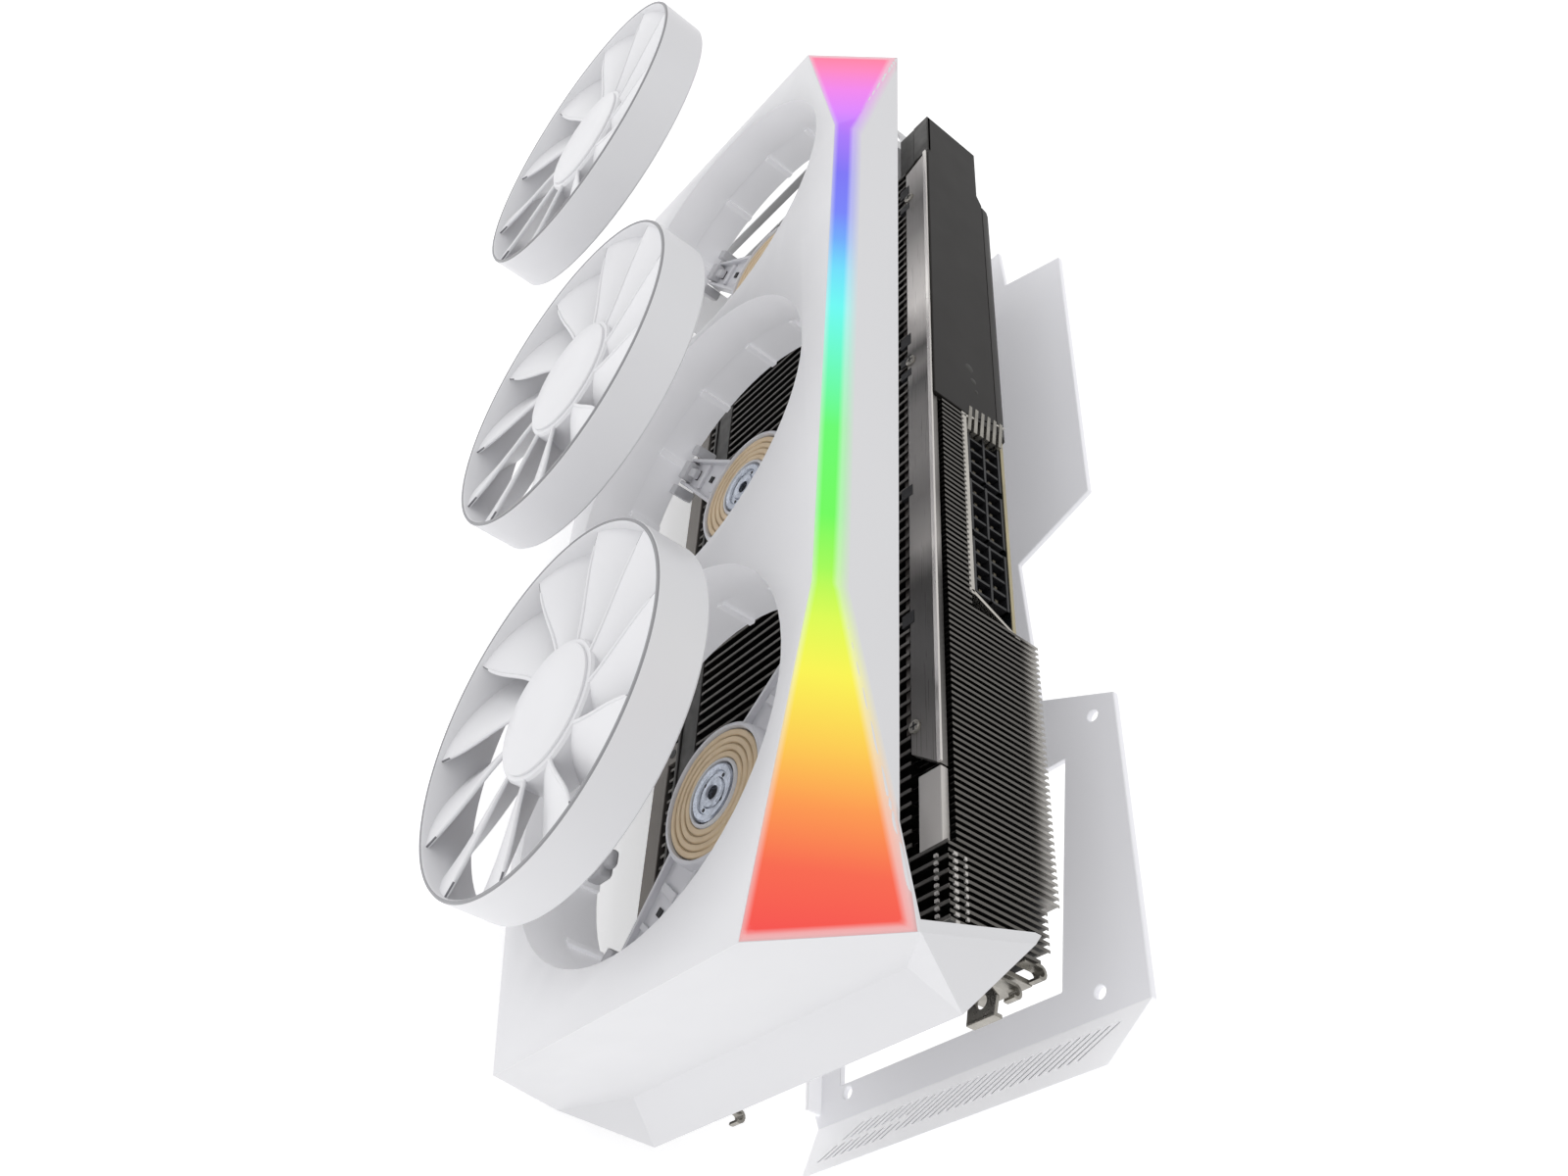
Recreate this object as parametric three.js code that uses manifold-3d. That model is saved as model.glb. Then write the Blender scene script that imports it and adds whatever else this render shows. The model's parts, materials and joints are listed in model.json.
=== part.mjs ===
// Triple-fan graphics card, shown pulled apart along its thickness: the fans off their motors,
// the shroud off the heatsink and the backplate off the circuit board.
//
// Millimetres. X runs along the card from the slot bracket to the tail, Y from the fans to the
// backplate and Z up, from the slot connector to the lit top edge. Pieces are drawn where they sit on
// the closed card, with X = 0 at the bracket end of the shroud's face, Y = 0 on that face and Z = 0 on
// the line through the fan centres. The groups at the end pull the layers apart and move the origin
// onto the outer face of the slot bracket.
import * as THREE from 'three'
import { mergeVertices } from 'three/addons/utils/BufferGeometryUtils.js'
import Module from 'manifold-3d'

const wasm = await Module()
wasm.setup()

// ---------------------------------------------------------------- driving dimensions
const cardLength = 340
const halfHeight = 65
const gap = 0.3
const sheet = 2.5

// How far each layer is drawn away from its closed place, along Y.
const corePull = 16
const backplatePull = 43
const lastFanPull = 32.5
const fanPullStep = 13

// Fans, numbered from the bracket end.
const fanPitch = 108.2
const lastFanX = 273.9
const fanCount = 3
const bladeCount = 11
const fanRadius = 48.8
const ringWall = 1.6
const ringDepth = 14
const fanFrontY = 1.5
const fanHubRadius = 18
const hubRecess = 4.6
const capRecess = 2.4
const capRadius = 16.5
const bladeThickness = 1.2
const bladeChord = 26
const bladeSweep = 15
const bladeTipRecess = 2.5
const bladeRootRecess = 5.4
const bladeBackRecess = 11.8
const openingRadius = 52.5

// Shroud: the face is narrow at both ends and wide in the middle; chamfers fill the difference.
const shroudDepth = 24
const faceHalfEnd = 45
const faceHalfMiddle = 61.7
const headTaperX = 67
const tailTaperX = 257
const middleChamferDepth = 5.9
const headChamferDepth = 24
const tailCornerY = 29.6
const creaseX = 331.5
const creaseY = 41.2
const creaseHalf = 49
const lipX = 339.7
const lipY = 52.4
const lipHalf = 53.7
const wingX = 323.7
const wingY = 63.6
const tubeWall = 1.8
const lightThickness = 1.2

// Motors.
const armFrontY = 25
const armThickness = 4
const armWidth = 11
const armReach = 58
const coilFrontY = 22
const coilRadius = 19
const spindleRadius = 8
const spindleFrontY = 21.6
const shaftRadius = 1.6

// Heatsink.
const finFrontY = 30
const finLipY = 48
const finBackY = 66
const finTopZ = 57
const finBottomZ = -58
const finStartX = 25
const finEndX = 320
const finPitch = 7
const finThickness = 1.4
const tailStackX = 226
const railStartX = 25
const railEndX = 281
const railBottomZ = 46
const railThickness = 2.5
const blockEndX = 302
const blockBottomZ = 48
const slotRailStartX = 26
const slotRailEndX = 318
const slotRailWidth = 7.7
const coverStartX = 3
const coverEndX = 152
const coverBackY = 61
const coverUnderZ = 55.5
const coverFrontBottomZ = 43
const coverStepX = 28
const coverStepDepth = 6
const tabFrontY = 50.5
const tabEndX = 334.5
const tabBottomZ = 40
const tabTopZ = 52.5
const tabHoleInset = 3.6
const pipeRadius = 3
const pipeY = finLipY + gap + pipeRadius
const pipeEndZs = [-44, -22, 0, 20]
const pipePlateZs = [-28, -17, -6, 5]

// Circuit board.
const boardFrontY = 59
const boardThickness = 1.6
const boardStartX = 3
const boardEndX = 225
const boardTopZ = 54.5
const boardCorner = 12
const boardBottomZ = -62
const edgeBottomZ = -74
const edgeStartX = 46
const edgeEndX = 135
const chipX = 112
const chipZ = -11
const chipHalf = 22
const dieHalf = 12
const platePastChip = 6
const memoryOffsetX = 37
const memoryHalfX = 7
const memoryHalfZ = 6
const memoryPitch = 20
const connectorStartX = 155
const connectorWidth = 20
const connectorPitch = 22.5
const connectorFrontY = 44
const connectorBackY = 57
const connectorBottomZ = 30
const connectorTopZ = 56
const connectorWall = 1.2
const frameBottomZ = 53
const frameWall = 1.4
const portCount = 4
const portPitch = 21
const lowestPortZ = -47
const portFrontY = 52
const portHalf = 8.5
const portWall = 0.8

// Slot bracket, three slots wide.
const bracketX = -7
const bracketFrontY = 5
const bracketBackY = 64
const bracketTopZ = 37
const bracketBottomZ = -83
const bracketSheet = 1
const bracketFlange = 11
const bracketNeckZ = -68
const slotPitch = 20.32
const screwHoleRadius = 2.2
const screwHoleX = -13
const ventCount = 5
const ventPitch = 7.6
const ventWidth = 4.4
const faceMountZ = 30

// Backplate.
const backplateY = 67
const backplateSheet = 2
const backplateHalf = 59
const foldX = 317.5
const foldEndX = 335
const foldEndY = 56.3
const foldEndHalf = 52.5
const foldSlots = 14
const foldSlotPitch = 6.5
const foldSlotWidth = 3
const foldSlotRise = 7

// ---------------------------------------------------------------- materials
function material(color, roughness, metalness) {
  return new THREE.MeshStandardMaterial({ color, roughness, metalness })
}
const whitePlastic = material(0xf1f1f4, 0.42, 0)
const whiteMetal = material(0xd9d9df, 0.45, 0.25)
const lightDiffuser = material(0xff7a3c, 0.3, 0)
const blackCoat = material(0x2c2a29, 0.5, 0.6)
const finMetal = material(0x35332f, 0.4, 0.9)
const brushedMetal = material(0x9a938c, 0.3, 1)
const nickel = material(0xbdb8b0, 0.25, 1)
const copper = material(0xb9835a, 0.3, 1)
const boardBlack = material(0x15171b, 0.55, 0.05)
const coilTan = material(0xd8bd92, 0.45, 0.2)
const connectorBlack = material(0x0d0e10, 0.5, 0)
const chipGrey = material(0x3a3d42, 0.15, 0.4)

// ---------------------------------------------------------------- solids
function solid(geometry) {
  geometry.deleteAttribute('normal')
  geometry.deleteAttribute('uv')
  const merged = mergeVertices(geometry, 1e-4)
  const vertProperties = new Float32Array(merged.attributes.position.array)
  const triVerts = new Uint32Array(merged.index.array)
  return new wasm.Manifold(new wasm.Mesh({ numProp: 3, vertProperties, triVerts }))
}

function join(...shapes) {
  return shapes.reduce((whole, shape) => whole.add(shape))
}

function cut(shape, ...tools) {
  return tools.reduce((whole, tool) => whole.subtract(tool), shape)
}

// A box given by its low and high corner on each axis.
function block(x0, x1, y0, y1, z0, z1) {
  const box = new THREE.BoxGeometry(x1 - x0, y1 - y0, z1 - z0)
  return solid(box.translate((x0 + x1) / 2, (y0 + y1) / 2, (z0 + z1) / 2))
}

// A cylinder along Y from y0 to y1, centred on x and z.
function disc(radius, y0, y1, x, z, sides = 48) {
  const cylinder = new THREE.CylinderGeometry(radius, radius, y1 - y0, sides)
  return solid(cylinder.translate(x, (y0 + y1) / 2, z))
}

function ring(inner, outer, y0, y1, x, z, sides = 44) {
  return cut(disc(outer, y0, y1, x, z, sides), disc(inner, y0 - 1, y1 + 1, x, z, sides))
}

function outlineShape(points) {
  return new THREE.Shape(points.map(([u, v]) => new THREE.Vector2(u, v)))
}

// A plate drawn in X and Z, from y0 to y1.
function plateXZ(points, y0, y1) {
  const plate = new THREE.ExtrudeGeometry(outlineShape(points), { depth: y1 - y0, bevelEnabled: false })
  return solid(plate.rotateX(Math.PI / 2).translate(0, y1, 0))
}

// A plate drawn in Y and Z, from x0 to x1.
function plateYZ(points, x0, x1) {
  const plate = new THREE.ExtrudeGeometry(outlineShape(points), { depth: x1 - x0, bevelEnabled: false })
  return solid(plate.rotateX(Math.PI / 2).rotateZ(Math.PI / 2).translate(x0, 0, 0))
}

// A plate drawn in X and Y, from z0 to z1.
function plateXY(points, z0, z1) {
  const plate = new THREE.ExtrudeGeometry(outlineShape(points), { depth: z1 - z0, bevelEnabled: false })
  return solid(plate.translate(0, 0, z0))
}

// Everything behind the plane through three points. The plane's front looks along outward, and the
// plane is first moved back by inset.
function behind(a, b, c, outward, inset) {
  const reach = 1500
  const normal = b.clone().sub(a).cross(c.clone().sub(a)).normalize()
  if (normal.dot(outward) < 0) normal.negate()
  const box = new THREE.BoxGeometry(reach, reach, reach).translate(0, 0, -reach / 2 - inset)
  const turn = new THREE.Quaternion().setFromUnitVectors(new THREE.Vector3(0, 0, 1), normal)
  return solid(box.applyQuaternion(turn).translate(a.x, a.y, a.z))
}

// A cut leaves slivers thinner than this, which are closed up before the piece is drawn.
const sliver = 0.01

function piece(name, shape, look) {
  const mesh = shape.simplify(sliver).getMesh()
  const geometry = new THREE.BufferGeometry()
  geometry.setAttribute('position', new THREE.Float32BufferAttribute(mesh.vertProperties, 3))
  geometry.setIndex(new THREE.Uint32BufferAttribute(mesh.triVerts, 1))
  geometry.computeVertexNormals()
  const part = new THREE.Mesh(geometry, look)
  part.name = name
  return part
}

function fanX(index) {
  return lastFanX - (fanCount - 1 - index) * fanPitch
}

function fanPull(index) {
  return lastFanPull + (fanCount - 1 - index) * fanPullStep
}

// ---------------------------------------------------------------- shroud
const tailCornerX = cardLength - (cardLength - creaseX) * (tailCornerY / creaseY)

// The three chamfer planes and the wing plane on one side; side is 1 at the top and -1 at the slot.
function sidePlanes(side, inset, chamferInset) {
  const at = (x, y, z) => new THREE.Vector3(x, y, z * side)
  const slope = at(0, -1, 1)
  const faceHead = at(0, 0, faceHalfEnd)
  const faceHeadTaper = at(headTaperX, 0, faceHalfMiddle)
  const faceTailTaper = at(tailTaperX, 0, faceHalfMiddle)
  const faceTail = at(cardLength, 0, faceHalfEnd)
  const sideHead = at(0, headChamferDepth, halfHeight)
  const sideMiddle = at(headTaperX, middleChamferDepth, halfHeight)
  const sideTail = at(tailCornerX, tailCornerY, halfHeight)
  const lip = at(lipX, lipY, lipHalf)
  const wing = at(wingX, wingY, halfHeight)
  return [
    behind(faceHead, faceHeadTaper, sideHead, slope, chamferInset),
    behind(faceHeadTaper, faceTailTaper, sideMiddle, slope, chamferInset),
    behind(faceTail, faceTailTaper, sideTail, slope, chamferInset),
    behind(sideTail, lip, wing, at(1, 1, 1), inset)
  ]
}

// The tail end slopes in to a crease, then flares out to a lip; the corners turn into the wings.
function tailEnd(inset) {
  const at = (x, y, z) => new THREE.Vector3(x, y, z)
  const outward = at(1, 0, 0)
  const face = behind(at(cardLength, 0, 0), at(cardLength, 0, 1), at(creaseX, creaseY, 0), outward, inset)
  const flare = behind(at(creaseX, creaseY, 0), at(creaseX, creaseY, 1), at(lipX, lipY, 0), outward, inset)
  const corners = [1, -1].map((side) => behind(
    at(tailCornerX, tailCornerY, side * halfHeight),
    at(creaseX, creaseY, side * creaseHalf),
    at(lipX, lipY, side * lipHalf),
    outward,
    inset
  ))
  return join(face, flare, ...corners)
}

function shroudBody(inset, chamferInset) {
  const depth = wingY + 20
  const half = halfHeight - inset
  let body = block(inset, cardLength, inset, depth, -half, half)
  for (const side of [1, -1]) {
    for (const plane of sidePlanes(side, inset, chamferInset)) body = body.intersect(plane)
  }
  return body.intersect(tailEnd(inset))
}

// What is open behind the shroud: all that lies behind its back edge, up to the tail's wall.
function openBack() {
  const wall = sheet + gap
  const far = wingY + 30
  return plateXY([
    [-20, shroudDepth],
    [cardLength - 29, shroudDepth],
    [tailCornerX - wall, tailCornerY],
    [wingX - wall, wingY],
    [wingX - wall, far],
    [-20, far]
  ], -halfHeight - 1, halfHeight + 1)
}

function backOfTail() {
  const slope = (wingY - lipY) / (lipX - wingX)
  const rise = 40
  return plateXY([
    [lipX + rise, lipY - rise * slope],
    [wingX - rise, wingY + rise * slope],
    [lipX + rise, wingY + rise]
  ], -halfHeight - 1, halfHeight + 1)
}

// The light's outline seen from above: a strip along the middle that widens at both ends.
function lightOutline(grow) {
  const faceEdge = 0.9
  const farEdge = 4.6
  return plateXY([
    [3 - grow, faceEdge - grow],
    [cardLength - 2 + grow, faceEdge - grow],
    [tailCornerX - 1 + grow, tailCornerY - 3 + grow],
    [tailTaperX, farEdge + grow],
    [headTaperX, farEdge + grow],
    [3 - grow, headChamferDepth - 3 + grow]
  ], faceHalfEnd - 15, halfHeight + 1)
}

function lightBar() {
  return cut(lightOutline(0).intersect(shroudBody(0, 0)), shroudBody(0, lightThickness))
}

// The light sits in a recess that leaves a thin floor under it.
function lightRecess() {
  return cut(lightOutline(gap), shroudBody(0, lightThickness + gap))
}

function shroudShell() {
  let shell = cut(shroudBody(0, 0), shroudBody(sheet, sheet), openBack(), backOfTail())
  for (let index = 0; index < fanCount; index++) {
    const outer = openingRadius + tubeWall
    shell = shell.add(disc(outer, sheet / 2, armFrontY - gap, fanX(index), 0, 64).intersect(shroudBody(0, 0)))
  }
  for (let index = 0; index < fanCount; index++) {
    shell = shell.subtract(disc(openingRadius, -1, shroudDepth + 1, fanX(index), 0, 64))
  }
  return shell.subtract(lightRecess())
}

// ---------------------------------------------------------------- motors
// One diagonal bar carries each motor. The tail fan's bar leans the other way.
function fanMount(index) {
  const x = fanX(index)
  const back = armFrontY + armThickness
  const lean = index === fanCount - 1 ? Math.PI / 4 : -Math.PI / 4
  const bar = new THREE.BoxGeometry(2 * armReach, armThickness, armWidth)
  bar.rotateY(lean).translate(x, armFrontY + armThickness / 2, 0)
  const plate = disc(coilRadius + 1, armFrontY, back, x, 0)
  const shaftHole = disc(shaftRadius + gap, armFrontY - 1, back + 1, x, 0, 16)
  return cut(join(solid(bar), plate), shaftHole)
}

function motorStator(index) {
  return ring(spindleRadius + gap, coilRadius, coilFrontY, armFrontY - gap, fanX(index), 0)
}

function motorSpindle(index) {
  const x = fanX(index)
  const cup = disc(spindleRadius, spindleFrontY, armFrontY - gap, x, 0, 32)
  const shaft = disc(shaftRadius, spindleFrontY, armFrontY + armThickness, x, 0, 16)
  return join(cup, shaft)
}

// ---------------------------------------------------------------- fans
// A blade starts at its front edge and goes back as it turns from +Z towards +X. Its root trails its
// tip and starts deeper.
function blade(index, turn) {
  const chord = THREE.MathUtils.degToRad(bladeChord)
  const sweep = THREE.MathUtils.degToRad(bladeSweep)
  const box = new THREE.BoxGeometry(1, 1, 1, 3, 1, 2)
  const position = box.attributes.position
  for (let i = 0; i < position.count; i++) {
    const along = position.getX(i) + 0.5
    const across = 0.5 - position.getZ(i)
    const radius = THREE.MathUtils.lerp(fanHubRadius - 1, fanRadius - ringWall / 2, along)
    const angle = turn + sweep * along - chord * across
    const front = THREE.MathUtils.lerp(bladeRootRecess, bladeTipRecess, along)
    const recess = THREE.MathUtils.lerp(front, bladeBackRecess, across)
    const y = fanFrontY + recess + bladeThickness * position.getY(i)
    position.setXYZ(i, fanX(index) + radius * Math.cos(angle), y, radius * Math.sin(angle))
  }
  return solid(box)
}

function fanRotor(index) {
  const x = fanX(index)
  const back = fanFrontY + ringDepth
  const hubFront = fanFrontY + hubRecess
  const cup = disc(fanHubRadius, hubFront, back, x, 0)
  const hollow = disc(fanHubRadius - ringWall, hubFront + ringWall, back + 1, x, 0)
  let rotor = join(ring(fanRadius - ringWall, fanRadius, fanFrontY, back, x, 0), cut(cup, hollow))
  for (let n = 0; n < bladeCount; n++) {
    rotor = rotor.add(blade(index, (n * 2 * Math.PI) / bladeCount).subtract(hollow))
  }
  return rotor
}

function fanHubCap(index) {
  return disc(capRadius, fanFrontY + capRecess, fanFrontY + hubRecess - gap, fanX(index), 0)
}

// The fan's magnet ends just short of the motor's spindle when the fan is on.
function couplingMagnet(index) {
  const front = fanFrontY + hubRecess + ringWall + gap
  return disc(spindleRadius - 1, front, spindleFrontY - gap, fanX(index), 0, 32)
}

// ---------------------------------------------------------------- heatsink
// A comb drawn in X and Y: fins that reach to tipY from a common lip.
function finComb(x0, x1, lipOuter, lipInner, tipY, z0, z1) {
  const points = [[x0, lipOuter], [x0, tipY]]
  let x = x0
  while (x + finPitch + finThickness <= x1) {
    points.push([x + finThickness, tipY], [x + finThickness, lipInner])
    x += finPitch
    points.push([x, lipInner], [x, tipY])
  }
  points.push([x + finThickness, tipY], [x + finThickness, lipOuter])
  return plateXY(points, z0, z1)
}

function finStackMain() {
  const comb = finComb(finStartX, finEndX, finLipY, finLipY - 1, finFrontY, finBottomZ, finTopZ)
  const front = finFrontY - 1
  const top = finTopZ + 1
  const seat = finFrontY + railThickness + gap
  const topRail = block(0, blockEndX + gap, front, seat, railBottomZ - gap, top)
  const cover = block(0, coverEndX + gap, front, finLipY + 1, coverUnderZ - gap, top)
  const sockets = block(
    coverEndX + 1, tailStackX, connectorFrontY - 3, finLipY + 1, connectorBottomZ - 2, top
  )
  return cut(comb, topRail, cover, sockets)
}

function finStackTail() {
  const lip = pipeY + pipeRadius + gap
  return finComb(tailStackX, finEndX, lip, lip + 1, finBackY, finBottomZ, finTopZ)
}

// Each pipe runs the length of the fins and swings in to cross the cold plate.
function heatPipe(index) {
  const route = [
    [finStartX + 3, pipeEndZs[index]],
    [finStartX + 20, pipeEndZs[index]],
    [chipX - chipHalf - 4, pipePlateZs[index]],
    [chipX, pipePlateZs[index]],
    [chipX + chipHalf + 4, pipePlateZs[index]],
    [chipX + 75, pipeEndZs[index]],
    [finEndX - 60, pipeEndZs[index]],
    [finEndX - 3, pipeEndZs[index]]
  ]
  const path = new THREE.CatmullRomCurve3(route.map(([x, z]) => new THREE.Vector3(x, pipeY, z)))
  const section = new THREE.Shape().absarc(0, 0, pipeRadius, 0, 2 * Math.PI)
  return solid(new THREE.ExtrudeGeometry(section, { steps: 20, curveSegments: 5, extrudePath: path }))
}

function coldPlate() {
  const front = pipeY + pipeRadius + gap
  const halfX = chipHalf + platePastChip
  const halfZ = chipHalf + platePastChip - 2
  return block(chipX - halfX, chipX + halfX, front, front + 2, chipZ - halfZ, chipZ + halfZ)
}

function frontRail() {
  return block(railStartX, railEndX, finFrontY, finFrontY + railThickness, railBottomZ, coverUnderZ)
}

function tailBlock() {
  return block(railEndX + gap, blockEndX, finFrontY, finFrontY + railThickness, blockBottomZ, coverUnderZ)
}

function slotRail() {
  const top = finBottomZ - gap
  return block(slotRailStartX, slotRailEndX, finFrontY, finFrontY + railThickness, top - slotRailWidth, top)
}

// The sheet over the top edge turns down over the front at the bracket end.
function sideCover() {
  const top = block(coverStartX, coverEndX, finFrontY, coverBackY, coverUnderZ, finTopZ)
  const frontSheet = finTopZ - coverUnderZ
  const turnedDown = block(
    coverStartX, railStartX - gap, finFrontY, finFrontY + frontSheet, coverFrontBottomZ, finTopZ
  )
  const step = block(0, coverStepX, coverBackY - coverStepDepth, coverBackY + 1, coverUnderZ - 1, finTopZ + 1)
  return cut(join(top, turnedDown), step)
}

function connectorFrame() {
  const end = connectorStartX + 2 * connectorPitch + connectorWidth
  const out = frameWall + gap
  const outer = block(
    connectorStartX - out, end + out, connectorFrontY - out, connectorBackY + out, frameBottomZ, finTopZ
  )
  const insideBack = connectorBackY + gap
  const inside = block(
    connectorStartX - gap, end + gap, connectorFrontY - gap, insideBack, frameBottomZ - 1, finTopZ + 1
  )
  return cut(outer, inside)
}

// A folded tab with a screw hole, past the end of the fins.
function tailBracket() {
  const start = finEndX + gap
  const thickness = 1.5
  const footDepth = 9.5
  const back = tabFrontY + thickness
  const plate = block(start, tabEndX, tabFrontY, back, tabBottomZ, tabTopZ)
  const foot = block(start, start + thickness, tabFrontY, tabFrontY + footDepth, tabBottomZ - 10, tabTopZ)
  return cut(join(plate, foot), disc(2, tabFrontY - 1, back + 1, tabEndX - tabHoleInset, tabTopZ - 5, 20))
}

// ---------------------------------------------------------------- circuit board
function circuitBoard() {
  const keyX = edgeStartX + 12
  return plateXZ([
    [boardStartX, boardBottomZ],
    [edgeStartX, boardBottomZ],
    [edgeStartX, edgeBottomZ],
    [keyX, edgeBottomZ],
    [keyX, boardBottomZ - 2],
    [keyX + 2, boardBottomZ - 2],
    [keyX + 2, edgeBottomZ],
    [edgeEndX, edgeBottomZ],
    [edgeEndX, boardBottomZ],
    [boardEndX, boardBottomZ],
    [boardEndX, boardTopZ],
    [coverStepX + boardCorner / 2, boardTopZ],
    [coverStepX, boardTopZ - boardCorner],
    [boardStartX, boardTopZ - boardCorner]
  ], boardFrontY, boardFrontY + boardThickness)
}

function squareOnChip(half, y0, y1) {
  return block(chipX - half, chipX + half, y0, y1, chipZ - half, chipZ + half)
}

function graphicsChip() {
  const back = boardFrontY - gap
  const substrateFront = back - 1.1
  const die = squareOnChip(dieHalf, substrateFront - 0.7, back - 0.5)
  return join(squareOnChip(chipHalf, substrateFront, back), die)
}

function memoryChip(index) {
  const side = index < 4 ? -1 : 1
  const x = chipX + side * memoryOffsetX
  const z = chipZ + memoryPitch * ((index % 4) - 1.5)
  const back = boardFrontY - gap
  return block(x - memoryHalfX, x + memoryHalfX, back - 1.1, back, z - memoryHalfZ, z + memoryHalfZ)
}

function springPlate() {
  const front = boardFrontY + boardThickness + gap
  const back = front + 1.2
  return cut(squareOnChip(chipHalf + 2, front, back), squareOnChip(dieHalf - 2, front - 1, back + 1))
}

// Power sockets open at the top edge.
function powerSocket(index) {
  const x0 = connectorStartX + index * connectorPitch
  const x1 = x0 + connectorWidth
  const front = connectorFrontY + connectorWall
  const back = connectorBackY - connectorWall
  const floor = connectorBottomZ + 12
  const shell = block(x0, x1, connectorFrontY, connectorBackY, connectorBottomZ, connectorTopZ)
  const mouth = block(x0 + connectorWall, x1 - connectorWall, front, back, floor, connectorTopZ + 1)
  return cut(shell, mouth)
}

// Display sockets open through the slot bracket.
function displaySocket(index) {
  const z = lowestPortZ + index * portPitch
  const back = boardFrontY - gap
  const insideHalf = portHalf - portWall
  const shell = block(bracketX - 0.6, bracketX + 20, portFrontY, back, z - portHalf, z + portHalf)
  const mouth = block(
    bracketX - 1, bracketX + 11, portFrontY + portWall, back - portWall, z - insideHalf, z + insideHalf
  )
  return cut(shell, mouth)
}

// ---------------------------------------------------------------- slot bracket
function slotBracket() {
  const inner = bracketX + bracketSheet
  const tongueFront = bracketFrontY + 4
  const tongueBack = bracketBackY - 6
  const tongueTop = bracketBottomZ + 8
  const outline = [
    [bracketFrontY, bracketTopZ],
    [bracketFrontY, bracketNeckZ],
    [tongueFront, tongueTop],
    [tongueFront, bracketBottomZ],
    [tongueBack, bracketBottomZ],
    [tongueBack, tongueTop],
    [bracketBackY, bracketNeckZ],
    [bracketBackY, bracketTopZ]
  ]
  const flangeUnder = bracketTopZ - bracketSheet
  const flange = block(bracketX - bracketFlange, inner, bracketFrontY, bracketBackY, flangeUnder, bracketTopZ)
  let bracket = join(plateYZ(outline, bracketX, inner), flange)
  for (let index = 0; index < portCount; index++) {
    const z = lowestPortZ + index * portPitch
    const half = portHalf + gap
    const hole = block(bracketX - 1, inner + 1, portFrontY - gap, boardFrontY, z - half, z + half)
    bracket = bracket.subtract(hole)
  }
  for (let vent = 0; vent < ventCount; vent++) {
    const y = bracketFrontY + 6 + vent * ventPitch
    bracket = bracket.subtract(block(bracketX - 1, inner + 1, y, y + ventWidth, -60, 22))
  }
  for (let slot = 0; slot < 3; slot++) {
    const y = bracketBackY - 9.2 - slot * slotPitch
    const hole = disc(screwHoleRadius, -bracketSheet - 1, bracketSheet + 1, 0, 0, 20).rotate([90, 0, 0])
    bracket = bracket.subtract(hole.translate([screwHoleX, y, bracketTopZ]))
  }
  return bracket
}

// ---------------------------------------------------------------- backplate
function backplate() {
  const inner = backplateY
  const outer = backplateY + backplateSheet
  const outline = [
    [-3, -66],
    [300, -66],
    [foldX, -backplateHalf],
    [foldX, backplateHalf],
    [228, backplateHalf],
    [217, 33],
    [161, 29],
    [150, backplateHalf],
    [29, backplateHalf],
    [20, 33],
    [-3, 31]
  ]
  const window = plateXZ([[241, -50], [307, -50], [307, 32], [241, 40]], inner - 1, outer + 1)
  const plate = cut(plateXZ(outline, inner, outer), window)
  return join(plate, backplateFold(inner, outer))
}

// The tail end turns forward along a fold, to lie behind the shroud's lip. Slots vent it.
function backplateFold(inner, outer) {
  const side = plateXY([
    [foldX - 1, inner],
    [foldX, inner],
    [foldEndX, foldEndY],
    [foldEndX + 1, foldEndY + 1.7],
    [foldX + 1, outer],
    [foldX - 1, outer]
  ], -backplateHalf, backplateHalf)
  const pastEnd = foldEndX + 2
  const taper = plateXZ([
    [foldX - 2, -backplateHalf],
    [foldX, -backplateHalf],
    [pastEnd, -foldEndHalf],
    [pastEnd, foldEndHalf],
    [foldX, backplateHalf],
    [foldX - 2, backplateHalf]
  ], foldEndY - 2, outer + 1)
  let fold = side.intersect(taper)
  const near = foldX + 4
  const far = foldX + 13
  for (let slot = 0; slot < foldSlots; slot++) {
    const z = 45 - slot * foldSlotPitch
    const vent = plateXZ([
      [near, z], [near, z - foldSlotWidth], [far, z - foldSlotRise - foldSlotWidth], [far, z - foldSlotRise]
    ], foldEndY - 3, outer + 2)
    fold = fold.subtract(vent)
  }
  return fold
}

// ---------------------------------------------------------------- assembly
function layer(pull, pieces) {
  const group = new THREE.Group()
  group.position.y = pull
  group.add(...pieces)
  return group
}

function numbered(count, build) {
  return Array.from({ length: count }, (_, index) => build(index))
}

function corePieces() {
  return [
    piece('fin_stack_main', finStackMain(), finMetal),
    piece('fin_stack_tail', finStackTail(), finMetal),
    piece('cold_plate', coldPlate(), nickel),
    piece('front_rail', frontRail(), brushedMetal),
    piece('tail_block', tailBlock(), nickel),
    piece('slot_rail', slotRail(), brushedMetal),
    piece('side_cover', sideCover(), blackCoat),
    piece('connector_frame', connectorFrame(), nickel),
    piece('tail_bracket', tailBracket(), nickel),
    piece('circuit_board', circuitBoard(), boardBlack),
    piece('graphics_chip', graphicsChip(), chipGrey),
    piece('spring_plate', springPlate(), nickel),
    piece('slot_bracket', slotBracket(), nickel),
    ...numbered(pipeEndZs.length, (n) => piece(`heat_pipe_${n + 1}`, heatPipe(n), copper)),
    ...numbered(8, (n) => piece(`memory_chip_${n + 1}`, memoryChip(n), chipGrey)),
    ...numbered(3, (n) => piece(`power_socket_${n + 1}`, powerSocket(n), connectorBlack)),
    ...numbered(portCount, (n) => piece(`display_socket_${n + 1}`, displaySocket(n), nickel))
  ]
}

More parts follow.
